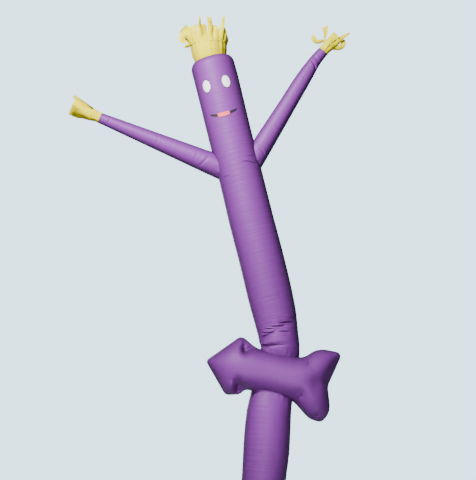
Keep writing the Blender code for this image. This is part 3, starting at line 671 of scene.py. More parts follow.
def sewn_at(rows, folds, azimuths, heights):
    """The first height, at each azimuth, where the tube lies a lap's depth under the arrow's cloth.

    Each is then the mean of itself and its two neighbours.
    """
    grid, turns = np.broadcast_arrays(heights[:, None], azimuths[None])
    centres, along, radii = body_spine(rows, grid)
    points = round_tube(centres, along, radii - folded(grid, turns, folds), turns)
    away = points - ARROW_MIDDLE
    spots = np.stack([away @ ARROW_RIGHT, away @ ARROW_UP], axis=-1).reshape(-1, 2)
    under = np.abs(points[..., 1]) < half_thickness(spots).reshape(grid.shape) - SEAM_LAP
    found = heights[np.where(under.any(axis=0), under.argmax(axis=0), len(heights) - 1)]
    return (np.roll(found, 1) + found + np.roll(found, -1)) / 3


def tube_faces(rings, columns):
    """Quads between rings, facing out: their point numbers, and their places on the cloth laid open."""
    ring, column = np.meshgrid(np.arange(rings - 1), np.arange(columns), indexing="ij")
    ring = np.stack([ring, ring + 1, ring + 1, ring], axis=-1).reshape(-1, 4)
    column = np.stack([column, column, column + 1, column + 1], axis=-1).reshape(-1, 4)
    return ring * columns + column % columns, ring * (columns + 1) + column


def tube_cloth(name, points, lengths, ends, finish):
    """A tube of cloth from its rings of points. Lengths is how far up the cloth each point is.

    Ends tells which of its two ends are sewn. The nearest seam is one of those or the long back seam.
    """
    rings, columns = points.shape[:2]
    faces, flat = tube_faces(rings, columns)
    closed = np.concatenate([points, points[:, :1]], axis=1)
    lengths = np.concatenate([lengths, lengths[:, :1]], axis=1)
    steps = np.linalg.norm(np.diff(closed, axis=1), axis=2)
    gone = np.concatenate([np.zeros((rings, 1)), np.cumsum(steps, axis=1)], axis=1)
    width = gone[:, -1:]
    cloth = np.stack([gone - width / 2, lengths], axis=-1).reshape(-1, 2)
    options = [(lengths, np.minimum(gone, width - gone))]
    if ends[0]:
        options.append((gone, lengths - lengths[:1]))
    if ends[1]:
        options.append((gone, lengths[-1:] - lengths))
    places = np.stack([option[0] for option in options], axis=-1)
    away = np.stack([option[1] for option in options], axis=-1)
    best = away.argmin(axis=-1)[..., None]
    seam = np.concatenate(
        [np.take_along_axis(places, best, axis=-1), np.take_along_axis(away, best, axis=-1)], axis=-1
    ).reshape(-1, 2)
    return add_cloth(name, points, faces.tolist(), cloth[flat], seam[flat], finish)


def leg():
    """The radius is the section's, less the folds, plus ripples, and puckers under the arrow.

    The ripples grow from nothing at the hem to LEG_RIPPLE times their size at LEG_CALM and above.
    """
    azimuths = azimuths_of(BODY_COLUMNS)
    tops = sewn_at(LEG, LEG_FOLDS, azimuths, np.arange(2.02, 2.42, SEAM_STEP))
    heights = np.linspace(0, 1, LEG_RINGS)[:, None] * tops
    turns = np.broadcast_to(azimuths, heights.shape)
    centres, along, radii = body_spine(LEG, heights)
    radii = radii - folded(heights, turns, LEG_FOLDS)
    radii = radii + LEG_RIPPLE * rippled(heights, turns) * np.clip(heights / LEG_CALM, 0, 1)
    radii = radii + puckered(np.radians(turns) * TUBE_RADIUS, tops - heights)
    points = round_tube(centres, along, radii, turns)
    return tube_cloth("leg_cloth", points, heights, (True, True), PURPLE_NYLON)


leg_cloth = leg()
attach(leg_cloth, "root")
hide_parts("leg_tube")


# The torso: the body tube above the arrow, of the same nylon. Where it bends back over the arrow its slack
# cloth falls into slanting folds, deepest at the left, and a seam across the chest joins it to the head.
TORSO = (
    Section(2.41, 0.700, 0.208),
    Section(2.58, 0.716, 0.207),
    Section(2.70, 0.720, 0.197),
    Section(2.80, 0.704, 0.202),
    Section(2.90, 0.687, 0.211),
    Section(3.00, 0.668, 0.219),
    Section(3.15, 0.634, 0.226),
    Section(3.56, 0.538, TUBE_RADIUS),
    Section(3.97, 0.433, 0.228),
    Section(4.38, 0.335, 0.225),
    Section(4.85, 0.216, 0.224),
    Section(5.22, 0.128, 0.226),
    Section(5.43, 0.077, 0.227),
    Section(5.59, 0.035, 0.226),
)
WAIST_FOLDS = (
    Fold(2.680, 130, 0.01, 0.018, 0.020, 44),
    Fold(2.800, 120, 0.07, 0.012, 0.030, 60),
    Fold(2.890, 80, 0.03, 0.005, 0.022, 45),
    Fold(2.735, 140, -0.02, -0.010, 0.034, 60),
    Fold(2.530, 90, 0.0, 0.072, 0.095, 60),
    Fold(2.530, 270, 0.0, 0.060, 0.110, 60),
)
CHEST_SEAM = 4.33
WAIST_TOP = 3.02
LINE_REACH = 0.2
WAIST_RINGS = 120
CHEST_RINGS = 130

# Line is a fine fold through three places on a tube, with a ridge of cloth pushed up above it.
Line = collections.namedtuple(
    "Line", "height0 azimuth0 height1 azimuth1 height2 azimuth2 depth width ridge"
)
WAIST_LINES = (
    Line(2.890, 87, 2.893, 68, 2.884, 34, 0.0110, 0.0070, 0.45),
    Line(2.872, 109, 2.867, 89, 2.866, 66, 0.0120, 0.0070, 0.45),
    Line(2.864, 126, 2.854, 113, 2.848, 103, 0.0085, 0.0060, 0.60),
    Line(2.836, 143, 2.817, 118, 2.817, 100, 0.0110, 0.0070, 0.50),
    Line(2.814, 92, 2.809, 76, 2.795, 58, 0.0100, 0.0062, 0.55),
    Line(2.777, 156, 2.798, 133, 2.807, 112, 0.0090, 0.0080, 0.40),
    Line(2.730, 166, 2.702, 135, 2.682, 100, 0.0080, 0.0070, 0.60),
    Line(2.684, 106, 2.680, 92, 2.684, 76, 0.0040, 0.0060, 0.60),
    Line(2.655, 160, 2.650, 140, 2.640, 118, 0.0040, 0.0080, 0.50),
    Line(3.158, 122, 3.160, 92, 3.156, 60, 0.0020, 0.0080, 0.60),
    Line(3.120, 110, 3.124, 90, 3.120, 75, 0.0015, 0.0070, 0.60),
    Line(2.700, 250, 2.740, 215, 2.760, 185, 0.010, 0.012, 0.40),
    Line(2.800, 262, 2.835, 228, 2.850, 195, 0.009, 0.011, 0.40),
    Line(2.880, 300, 2.905, 262, 2.912, 225, 0.007, 0.010, 0.40),
)


def lined(heights, azimuths, lines):
    """How far the lines draw a tube in, on the cloth laid flat, where x is the azimuth's arc.

    A line is the parabola through its three places. Its trough is depth * (exp(-s^2) - ridge *
    exp(-(s - 1.7)^2)) * (1 - |2 share - 1|^3), s being the distance above it in widths and share how far
    along it a place is. It ends LINE_REACH above and below its middle.
    """
    drawn = np.zeros(heights.shape)
    arc = math.radians(TUBE_RADIUS)
    for line in lines:
        places = np.array([line[1::2][:3], line[0:6:2]], float).T
        turns = np.array([0.0, round_by(places[1, 0], places[0, 0]), round_by(places[2, 0], places[0, 0])])
        curve = np.polyfit(turns, places[:, 1], 2)
        away = round_by(azimuths, (places[0, 0] + places[2, 0]) / 2) + turns[2] / 2
        share = away / turns[2]
        near = (share > 0) & (share < 1) & (np.abs(heights - places[:, 1].mean()) < LINE_REACH)
        slope = np.polyval(np.polyder(curve), away) / arc
        s = (heights - np.polyval(curve, away)) / np.sqrt(1 + slope**2) / line.width
        shape = np.exp(-(s**2)) - line.ridge * np.exp(-((s - 1.7) ** 2))
        drawn += np.where(near, line.depth * shape * (1 - np.abs(2 * share - 1) ** 3), 0.0)
    return drawn


def torso():
    """The radius is the section's, less the folds and the lines, plus ripples and puckers over the arrow.

    The waist's rings crowd evenly between the arrow and WAIST_TOP, and above it they are level.
    """
    azimuths = azimuths_of(BODY_COLUMNS)
    bottoms = sewn_at(TORSO, WAIST_FOLDS, azimuths, np.arange(2.80, 2.42, -SEAM_STEP))
    waist = np.linspace(0, 1, WAIST_RINGS, endpoint=False)[:, None]
    chest = np.linspace(WAIST_TOP, CHEST_SEAM, CHEST_RINGS)[:, None]
    heights = np.concatenate([bottoms + (WAIST_TOP - bottoms) * waist, chest + np.zeros_like(bottoms)])
    turns = np.broadcast_to(azimuths, heights.shape)
    centres, along, radii = body_spine(TORSO, heights)
    radii = radii - folded(heights, turns, WAIST_FOLDS) - lined(heights, turns, WAIST_LINES)
    radii = radii + rippled(heights, turns) + puckered(np.radians(turns) * TUBE_RADIUS, heights - bottoms)
    points = round_tube(centres, along, radii, turns)
    return tube_cloth("torso_cloth", points, heights, (True, False), PURPLE_NYLON)


torso_cloth = torso()
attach(torso_cloth, "root")
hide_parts("torso_tube")


# The head: the rest of the body tube, up to a round top panel with a hole that the hair is sewn into. The
# tube rounds over into it in a soft shoulder, and the arms are let into its sides below the face.
SHOULDER_START = 5.56
SHOULDER_HEIGHT = 0.086
SHOULDER_CALM = 0.8
CALM_REACH = 0.25
ROUND_RISE = 0.1
ROUND_DRIFT = 0.02
HAIR_HOLE = 0.163
HEAD_RINGS = 150
SHOULDER_RINGS = 22
HEAD_LINES = (
    Line(4.518, 80, 4.497, 57, 4.466, 33, 0.009, 0.010, 0.35),
    Line(4.560, 60, 4.553, 46, 4.548, 34, 0.004, 0.010, 0.40),
    Line(4.395, 156, 4.415, 140, 4.412, 120, 0.005, 0.012, 0.40),
    Line(4.500, 300, 4.520, 280, 4.515, 262, 0.005, 0.012, 0.40),
)


def head():
    """Rings up the spine, and then, turning by q, rings of radius hole + (tube - hole) cos q.

    Those are SHOULDER_HEIGHT sin q higher, and ROUND_RISE sin q + ROUND_DRIFT q further up the cloth. The
    ripples calm down below the shoulder by SHOULDER_CALM exp(-((height - its start) / CALM_REACH)^2).
    """
    azimuths = azimuths_of(BODY_COLUMNS)
    heights = np.linspace(CHEST_SEAM, SHOULDER_START, HEAD_RINGS)[:, None] + np.zeros(BODY_COLUMNS)
    turns = np.broadcast_to(azimuths, heights.shape)
    centres, along, radii = body_spine(TORSO, heights)
    calm = 1 - SHOULDER_CALM * np.exp(-(((heights - SHOULDER_START) / CALM_REACH) ** 2))
    radii = radii - lined(heights, turns, HEAD_LINES) + rippled(heights, turns) * calm
    quarter = np.radians(90) * np.arange(1, SHOULDER_RINGS + 1)[:, None] / SHOULDER_RINGS
    tops = centres[-1] + SHOULDER_HEIGHT * np.sin(quarter)[..., None] * along[-1]
    widths = HAIR_HOLE + (radii[-1] - HAIR_HOLE) * np.cos(quarter)
    gather = puckered(np.radians(azimuths) * HAIR_HOLE, SHOULDER_HEIGHT * (np.pi / 2 - quarter))
    body = round_tube(centres, along, radii, turns)
    over = round_tube(tops, along[-1][None], widths + gather * np.cos(quarter), azimuths[None])
    over = over + (gather * np.sin(quarter))[..., None] * along[-1]
    further = SHOULDER_START + ROUND_RISE * np.sin(quarter) + ROUND_DRIFT * quarter
    lengths = np.concatenate([heights, further + 0 * turns[:1]])
    points = np.concatenate([body, over])
    return tube_cloth("head_cloth", points, lengths, (False, True), PURPLE_NYLON)


head_cloth = head()
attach(head_cloth, "root")
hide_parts("head_tube")


# The arms: tapering tubes of purple nylon, let into the sides of the head tube. The air holds them up, and
# each is creased at its root. The right one is also creased where it bends, near its wrist.
ArmSection = collections.namedtuple("ArmSection", "reach sideways height radius")
ARM_LEFT = (
    ArmSection(-0.200, 0.246, 4.458, 0.125),
    ArmSection(0.000, 0.062, 4.535, 0.117),
    ArmSection(0.640, -0.528, 4.782, 0.086),
    ArmSection(1.272, -1.112, 5.026, 0.055),
)
ARM_RIGHT = (
    ArmSection(-0.200, 0.392, 4.481, 0.113),
    ArmSection(0.000, 0.496, 4.652, 0.1085),
    ArmSection(0.560, 0.786, 5.131, 0.090),
    ArmSection(1.010, 1.019, 5.516, 0.074),
    ArmSection(1.100, 1.068, 5.592, 0.066),
    ArmSection(1.170, 1.110, 5.650, 0.061),
    ArmSection(1.272, 1.176, 5.728, 0.055),
)
ARM_RINGS = 190
ARM_COLUMNS = 72
ARM_RIPPLE = 0.7
ROOT_PUCKER = 0.8
WRIST_PUCKER = 0.5
ARM_LEFT_LINES = (
    Line(0.070, 40, 0.101, 95, 0.140, 140, 0.007, 0.012, 0.40),
    Line(0.215, 60, 0.205, 90, 0.215, 118, 0.003, 0.010, 0.50),
    Line(0.640, 70, 0.632, 95, 0.642, 120, 0.002, 0.010, 0.50),
    Line(1.180, 55, 1.172, 85, 1.180, 115, 0.003, 0.009, 0.50),
)
ARM_RIGHT_LINES = (
    Line(0.062, 125, 0.050, 90, 0.020, 40, 0.008, 0.012, 0.40),
    Line(0.313, 130, 0.306, 100, 0.290, 72, 0.004, 0.010, 0.50),
    Line(0.930, 110, 0.922, 88, 0.925, 66, 0.003, 0.010, 0.50),
    Line(1.128, 132, 1.106, 90, 1.088, 30, 0.012, 0.011, 0.45),
    Line(1.060, 20, 1.078, 48, 1.096, 72, 0.010, 0.011, 0.30),
    Line(1.165, 40, 1.158, 78, 1.172, 112, 0.004, 0.009, 0.50),
)


def arm_spine(rows, reaches):
    """Centre, direction and radius of an arm at each reach.

    The direction is the centre's change, made 1 long.
    """
    sideways, heights, radii = np.moveaxis(through(rows, reaches), -1, 0)
    centres = np.stack([sideways, np.zeros_like(heights), heights], axis=-1)
    change = (through(rows, reaches + NEAR) - through(rows, reaches - NEAR))[..., :2]
    along = np.stack([change[..., 0], np.zeros_like(heights), change[..., 1]], axis=-1)
    return centres, unit(along), radii


def let_in_at(rows, azimuths):
    """The reach, at each azimuth, where the arm lies a lap's depth under the head tube's cloth.

    A place's height on the spine is where (place - centre).direction is 0, which z + (x - centre) dx/dz
    settles on in a few rounds. It is under the cloth where it is nearer to the spine than the radius.
    """
    reaches = np.arange(0.25, -0.2, -SEAM_STEP)
    grid, turns = np.broadcast_arrays(reaches[:, None], azimuths[None])
    points = round_tube(*arm_spine(rows, grid), turns)
    heights = points[..., 2]
    for _ in range(4):
        centres, along, radii = body_spine(TORSO, heights)
        heights = points[..., 2] + (points[..., 0] - centres[..., 0]) * along[..., 0] / along[..., 2]
    off = points - centres
    under = np.linalg.norm(off - (off * along).sum(axis=-1)[..., None] * along, axis=-1) < radii - SEAM_LAP
    found = reaches[under.argmax(axis=0)]
    return (np.roll(found, 1) + found + np.roll(found, -1)) / 3


def arm(name, rows, lines):
    """The radius is the section's, less the lines, plus ripples and the puckers at the root and the wrist.

    Reaches run from the head tube's cloth to the wrist. The wrist's puckers shrink with the radius.
    """
    azimuths = azimuths_of(ARM_COLUMNS)
    starts = let_in_at(rows, azimuths)
    reaches = starts + (rows[-1].reach - starts) * np.linspace(0, 1, ARM_RINGS)[:, None]
    turns = np.broadcast_to(azimuths, reaches.shape)
    centres, along, radii = arm_spine(rows, reaches)
    share = WRIST_PUCKER * (radii / TUBE_RADIUS)
    radii = radii - lined(reaches, turns, lines) + ARM_RIPPLE * rippled(reaches, turns)
    radii = radii + puckered(np.radians(turns) * rows[1].radius, reaches - starts) * ROOT_PUCKER
    radii = radii + share * puckered(np.radians(turns) * rows[-1].radius, rows[-1].reach - reaches)
    return tube_cloth(name, round_tube(centres, along, radii, turns), reaches, (True, True), PURPLE_NYLON)


for side, rows, lines in (("left", ARM_LEFT, ARM_LEFT_LINES), ("right", ARM_RIGHT, ARM_RIGHT_LINES)):
    sleeve = arm("sleeve_" + side, rows, lines)
    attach(sleeve, "root")
    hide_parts("arm_" + side)


# The hands: a short yellow cuff is sewn to each wrist, gathered at the seam, and its edge is cut into six
# strips that the leaving air throws about.
CuffSection = collections.namedtuple("CuffSection", "reach radius")
CUFF = (
    CuffSection(0.000, 0.055),
    CuffSection(0.006, 0.055),
    CuffSection(0.036, 0.052),
    CuffSection(0.079, 0.062),
    CuffSection(0.085, 0.062),
)
SEAM_GAP = 0.0003
BAND = 0.008
ROOT_LIFT = 0.0005
ROOT_OUT = 0.0007
YELLOW = (0.62, 0.55, 0.0)
YELLOW_THREAD = (0.40, 0.29, 0.0)
# The yellow's painted edge shade is milder than the other finishes' (deep 0.75).
YELLOW_NYLON = nylon("yellow_nylon", YELLOW, YELLOW_THREAD, crinkle=0.003, sheen=0.0, deep=0.75, shine=0.05)
CUFF_COLUMNS = 72
CUFF_RINGS = 22
CUFF_PLEATS = (
    Wave(0.043, 0.0018, 0.9),
    Wave(0.058, 0.0026, 3.7),
    Wave(0.118, 0.0030, 1.4),
)
Strip = collections.namedtuple("Strip", "azimuth width length lean sway bend twist tip")
FINGERS_LEFT = (
    Strip(12, 0.040, 0.26, 9, 0, 3, 70, 0.9),
    Strip(70, 0.066, 0.225, 4, -4, 2, 14, 1.5),
    Strip(128, 0.068, 0.225, 2, -3, 2, -12, 1.5),
    Strip(188, 0.060, 0.24, 5, 2, -6, 45, 1.2),
    Strip(248, 0.066, 0.22, 4, 4, 4, -14, 1.5),
    Strip(308, 0.066, 0.23, 6, 4, 0, 12, 1.5),
)
FINGERS_RIGHT = (
    Strip(4, 0.050, 0.168, 60, 0, -145, -78, 1.1),
    Strip(40, 0.070, 0.240, 2, -4, 34, -48, 0.15),
    Strip(112, 0.068, 0.135, 4, -8, -20, 10, 1.3),
    Strip(174, 0.044, 0.165, 170, 0, -178, 74, 1.3),
    Strip(222, 0.042, 0.22, 46, -10, -4, 84, 2.0),
    Strip(288, 0.068, 0.15, 8, 6, -14, 10, 1.2),
)
STRIP_STEPS = 28
STRIP_COLUMNS = 8
STRIP_CLOTH = 0.0009
GUTTER = 0.22
FLUTTER = 0.030
RUFFLE = 0.006
ROOT_PLEAT = 0.35


def cuff_spine(rows, reaches, start, first_lean, last_lean):
    """Centre, direction and radius up a short tube whose lean turns evenly.

    The centre's change along it is (sin lean, 0, cos lean).
    """
    radii = np.interp(reaches, *np.array(rows).T)
    leans = first_lean + (last_lean - first_lean) * reaches / rows[-1].reach
    along = np.stack([np.sin(leans), np.zeros_like(leans), np.cos(leans)], axis=-1)
    moves = np.diff(reaches)[:, None] * (along[1:] + along[:-1]) / 2
    return start + np.concatenate([np.zeros((1, 3)), np.cumsum(moves, axis=0)]), along, radii


def pleated(azimuths, waves, radius):
    """Pleats round a gathered edge: the sum of size * sin(n a + phase), with n whole waves round it."""
    a = np.radians(azimuths)
    total = 0.0
    for wave in waves:
        count = round(2 * np.pi * radius / wave.length)
        total = total + wave.size * np.sin(count * a + wave.phase)
    return total


def gathered_tube(name, spine, columns, waves, finish):
    """A short tube whose radius grows by its pleats: by ROOT_PLEAT of them at the seam, all at the edge."""
    centres, along, radii = spine
    azimuths = azimuths_of(columns)
    share = np.linspace(0, 1, len(radii))[:, None]
    depth = ROOT_PLEAT + (1 - ROOT_PLEAT) * share
    grown = radii[:, None] + depth * pleated(azimuths[None], waves, radii[-1])
    points = round_tube(centres[:, None], along[:, None], grown, azimuths[None])
    steps = np.linalg.norm(np.diff(centres, axis=0), axis=1)
    lengths = np.concatenate([[0.0], np.cumsum(steps)])[:, None] + np.zeros(columns)
    return tube_cloth(name, points, lengths, (True, False), finish)


def turned(first, second, degrees):
    """Two directions at right angles, turned: cos first + sin second, and cos second - sin first."""
    angle = np.radians(degrees)
    return (
        np.cos(angle) * first + np.sin(angle) * second,
        np.cos(angle) * second - np.sin(angle) * first,
    )


def strip_points(strip, ring, waves):
    """Rows of points up one strip, from its root on the band to its cut tip.

    It sways sideways at its root. With s from 0 to 1 it leans from along to out by lean (1 - (1 - s)^10) +
    bend s^2, turns by twist (1 - (1 - s)^3) about its own line and is width (1 + (tip - 1) s^2) across. The
    band's curve at the root fades by (1 - s)^3 into a gutter of GUTTER widths, which is (1 - (1 - s)^4)
    sin(1.3 + 2 s) deep. A flutter and ruffled edges, s sin of 1.3 and 2.1 turns, grow towards the tip.
    """
    start, along, radius = ring
    side = sides_of(along)
    angle = math.radians(strip.azimuth)
    out = math.cos(angle) * side + math.sin(angle) * FRONT
    wide = -math.sin(angle) * side + math.cos(angle) * FRONT
    half = strip.width / radius / 2
    pleat = pleated(strip.azimuth, waves, radius)
    root = start + ROOT_LIFT * along + ((radius + ROOT_OUT) * math.cos(half) + pleat) * out
    along, wide = turned(along, wide, strip.sway)
    s = np.arange(STRIP_STEPS + 1)[:, None] / STRIP_STEPS
    bends = strip.lean * (1 - (1 - s) ** 10) + strip.bend * s**2
    ahead = turned(along, out, (bends[1:] + bends[:-1]) / 2)[0]
    moves = np.cumsum(ahead, axis=0) * strip.length / STRIP_STEPS
    outwards = turned(along, out, bends)[1]
    across, facing = turned(wide, outwards, strip.twist * (1 - (1 - s) ** 3))
    flutter = FLUTTER * strip.length * s * np.sin(2 * np.pi * (1.3 * s + strip.azimuth / 57))
    centres = root + np.concatenate([np.zeros((1, 3)), moves]) + flutter * facing
    u = np.linspace(-1, 1, STRIP_COLUMNS + 1)[None]
    sagitta = radius * (1 - math.cos(half))
    cup = sagitta * (1 - s) ** 3 + GUTTER * strip.width * (1 - (1 - s) ** 4) * np.sin(1.3 + 2.0 * s)
    ruffle = RUFFLE * s * u * np.sin(2 * np.pi * (2.1 * s + strip.azimuth / 31))
    widths = strip.width * (1 + (strip.tip - 1) * s**2) / 2
    lift = cup * (1 - u**2) + ruffle
    return centres[:, None] + (widths * u)[..., None] * across[:, None] + lift[..., None] * facing[:, None]


def strip_fringe(name, ring, strips, columns, waves, finish):
    """A narrow band round the tube's edge and the strips that grow from it, as one cloth.

    No seam is near it, so it says that it is a metre from one.
    """
    start, along, radius = ring
    azimuths = azimuths_of(columns)
    lifts = np.array([0.0, BAND / 2, BAND])[:, None]
    band = round_tube(
        start + lifts[..., None] * along,
        along[None, None],
        radius + pleated(azimuths[None], waves, radius) + 0 * lifts,
        azimuths[None],
    )
    faces, flat = tube_faces(3, columns)
    gone = 2 * np.pi * radius * np.arange(columns + 1) / columns
    band_cloth = np.stack([gone + 0 * lifts, lifts + 0 * gone], axis=-1).reshape(-1, 2)
    points, all_faces, cloth = [band.reshape(-1, 3)], [faces], [band_cloth[flat]]
    rows, cells = STRIP_STEPS + 1, STRIP_COLUMNS + 1
    row, cell = np.meshgrid(np.arange(rows - 1), np.arange(cells - 1), indexing="ij")
    quads = (row * cells + cell)[..., None] + np.array([0, 1, cells + 1, cells])
    quads = quads.reshape(-1, 4)
    begun = len(band.reshape(-1, 3))
    for strip in strips:
        made = strip_points(strip, ring, waves)
        places = np.stack(
            [
                strip.azimuth + np.linspace(0, strip.width, cells)[None] + np.zeros((rows, 1)),
                np.linspace(0, strip.length, rows)[:, None] + np.zeros((1, cells)),
            ],
            axis=-1,
        ).reshape(-1, 2)
        points.append(made.reshape(-1, 3))
        all_faces.append(quads + begun)
        cloth.append(places[quads])
        begun += rows * cells
    cloth = np.concatenate(cloth)
    faces = np.concatenate(all_faces).tolist()
    return add_cloth(name, np.concatenate(points), faces, cloth, np.ones_like(cloth), finish, STRIP_CLOTH)


for side, rows, strips in (("left", ARM_LEFT, FINGERS_LEFT), ("right", ARM_RIGHT, FINGERS_RIGHT)):
    wrist, forward, _ = arm_spine(rows, np.array([rows[-1].reach]))
    wrist, forward = wrist[0], forward[0]
    lean = math.atan2(forward[0], forward[2])
    reaches = np.linspace(0, CUFF[-1].reach, CUFF_RINGS)
    spine = cuff_spine(CUFF, reaches, wrist + SEAM_GAP * forward, lean, lean)
    cuff = gathered_tube("cuff_cloth_" + side, spine, CUFF_COLUMNS, CUFF_PLEATS, YELLOW_NYLON)
    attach(cuff, "root")
    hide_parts("cuff_" + side)
    ring = (spine[0][-1] + SEAM_GAP * forward, forward, CUFF[-1].radius)
    fingers = strip_fringe("finger_strips_" + side, ring, strips, CUFF_COLUMNS, CUFF_PLEATS, YELLOW_NYLON)
    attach(fingers, "root")
    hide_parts("fingers_" + side)


# The hair: a yellow collar is sewn round the hole in the head's top and flares as it rises. Its edge is
# cut into nineteen strips, which stand up, droop to the left and curl in the air that leaves through them.
COLLAR = (
    CuffSection(0.000, 0.166),
    CuffSection(0.006, 0.166),
    CuffSection(0.070, 0.181),
    CuffSection(0.144, 0.188),
    CuffSection(0.150, 0.188),
)
COLLAR_LEAN = math.radians(-4)
COLLAR_COLUMNS = 160
COLLAR_RINGS = 30
COLLAR_PLEATS = (
    Wave(0.049, 0.0016, 2.2),
    Wave(0.071, 0.0024, 0.8),
    Wave(0.160, 0.0030, 4.0),
)
HAIR = (
    Strip(8, 0.064, 0.13, 2, 0, -65, -70, 1.0),
    Strip(28, 0.062, 0.17, 2, 4, -30, -45, 1.0),
    Strip(48, 0.044, 0.275, 4, -11, 0, -42, 0.6),
    Strip(65, 0.058, 0.17, 0, 0, -10, -20, 0.9),
    Strip(83, 0.062, 0.25, 0, -1, 4, 18, 0.8),
    Strip(100, 0.046, 0.07, 0, 0, -20, 0, 0.8),
    Strip(116, 0.062, 0.27, -2, 0, 0, 66, 0.25),
    Strip(134, 0.068, 0.18, 8, 2, 10, 26, 1.3),
    Strip(150, 0.066, 0.20, 20, 4, 34, 48, 1.4),
    Strip(166, 0.056, 0.09, 106, 0, 30, 50, 0.2),
    Strip(184, 0.058, 0.30, -14, 4, 345, 78, 1.0),
    Strip(203, 0.068, 0.25, 20, 0, 34, -58, 1.3),
    Strip(223, 0.066, 0.28, 16, 0, 20, -40, 1.3),
    Strip(244, 0.062, 0.31, 8, 6, 10, -20, 1.2),
    Strip(263, 0.062, 0.30, 3, -4, 16, 16, 1.2),
    Strip(282, 0.062, 0.26, 2, 4, 6, -12, 1.1),
    Strip(301, 0.060, 0.22, 0, -4, 4, 24, 1.0),
    Strip(320, 0.060, 0.20, 0, -6, -10, 40, 1.0),
    Strip(339, 0.060, 0.17, 0, -6, -30, 55, 0.9),
)
centres, along, _ = body_spine(TORSO, np.array([SHOULDER_START]))
head_top = centres[0] + (SHOULDER_HEIGHT + SEAM_GAP) * along[0]
head_lean = math.atan2(along[0][0], along[0][2])
reaches = np.linspace(0, COLLAR[-1].reach, COLLAR_RINGS)
spine = cuff_spine(COLLAR, reaches, head_top, head_lean, COLLAR_LEAN)
collar_cloth = gathered_tube("collar_cloth", spine, COLLAR_COLUMNS, COLLAR_PLEATS, YELLOW_NYLON)
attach(collar_cloth, "root")
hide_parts("hair_collar")
ring = (spine[0][-1] + SEAM_GAP * spine[1][-1], spine[1][-1], COLLAR[-1].radius)
hair = strip_fringe("hair_strips", ring, HAIR, COLLAR_COLUMNS, COLLAR_PLEATS, YELLOW_NYLON)
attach(hair, "root")
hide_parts("hair_fringe")


# The face: two white ovals and a black smile with a pink lip over it, cut from thin nylon and sewn to the
# head with a close zigzag of thread over their edges.
EYE_LEVEL = 5.342
EYE_HALF_WIDTH = 0.050
EYE_HALF_HEIGHT = 0.069
FACE_LIFT = 0.0006
FACE_CLOTH = 0.0010
EYE_RINGS = 16
EYE_COLUMNS = 72
EYE_MIDDLE = 0.02
WHITE = (0.88, 0.88, 0.89)
WHITE_NYLON = nylon("white_nylon", WHITE, (0.05, 0.03, 0.07), binding=0.007, crinkle=0.0004)


def on_head(azimuths, levels, lift):
    """Places on the head tube, lifted off its cloth: centre + (radius + ripples + lift) * spoke."""
    centres, along, radii = body_spine(TORSO, levels)
    return round_tube(centres, along, radii + rippled(levels, azimuths) + lift, azimuths)


def eye(name, azimuth):
    """An oval on rings, at azimuth + (half width / tube radius) r cos t and level + half height r sin t.

    The radius r runs from 1 to EYE_MIDDLE, and a fan of triangles closes the middle.
    """
    r = np.linspace(1, EYE_MIDDLE, EYE_RINGS)[:, None]
    t = 2 * np.pi * np.arange(EYE_COLUMNS + 1)[None] / EYE_COLUMNS
    azimuths = azimuth + np.degrees(EYE_HALF_WIDTH / TUBE_RADIUS) * r * np.cos(t[:, :-1])
    levels = EYE_LEVEL + EYE_HALF_HEIGHT * r * np.sin(t[:, :-1])
    rings = on_head(azimuths, levels, FACE_LIFT + FACE_CLOTH).reshape(-1, 3)
    centre = on_head(np.array([float(azimuth)]), np.array([EYE_LEVEL]), FACE_LIFT + FACE_CLOTH)
    faces, flat = tube_faces(EYE_RINGS, EYE_COLUMNS)
    last = np.arange(len(rings) - EYE_COLUMNS, len(rings))
    fan = np.stack([last, np.full(EYE_COLUMNS, len(rings)), np.roll(last, -1)], axis=1)
    size = (EYE_HALF_WIDTH + EYE_HALF_HEIGHT) / 2
    cloth = np.stack([EYE_HALF_WIDTH * r * np.cos(t), EYE_HALF_HEIGHT * r * np.sin(t)], axis=-1)
    seam = np.stack([size * t + 0 * r, size * (1 - r) + 0 * t], axis=-1)
    corners = flat.ravel()
    return add_cloth(
        name,
        np.concatenate([rings, centre]),
        faces.tolist() + fan.tolist(),
        np.concatenate([cloth.reshape(-1, 2)[corners], np.zeros((fan.size, 2))]),
        np.concatenate([seam.reshape(-1, 2)[corners], np.full((fan.size, 2), size)]),
        WHITE_NYLON,
        FACE_CLOTH,
    )


for name, node, azimuth in (("eye_oval_left", "eye_left", 123), ("eye_oval_right", "eye_right", 69)):
    oval = eye(name, azimuth)
    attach(oval, "root")
    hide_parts(node)

MOUTH_LEVEL = 5.052
MOUTH_AZIMUTH = 95
SMILE = 0.032
BAND_CELLS = 60
BAND_ROWS = 8
OVER_MOUTH = 2 * FACE_CLOTH + 2 * FACE_LIFT
BLACK = (0.018, 0.018, 0.022)
PINK = (0.80, 0.10, 0.105)
BLACK_NYLON = nylon("black_nylon", BLACK, (0.03, 0.025, 0.035), binding=0.003, crinkle=0.0006)
PINK_NYLON = nylon("pink_nylon", PINK, (0.50, 0.09, 0.11), binding=0.003, crinkle=0.0006)
FaceBand = collections.namedtuple(
    "FaceBand", "name node half_angle half_height ends lift finish slot width"
)
FACE_BANDS = (
    FaceBand("smile_black", "mouth", 37, 0.014, 0.42, FACE_LIFT, BLACK_NYLON, "black_nylon", 0.30),
    FaceBand("lip_pink", "lip", 16, 0.021, 0.80, OVER_MOUTH, PINK_NYLON, "pink_nylon", 0.128),
)


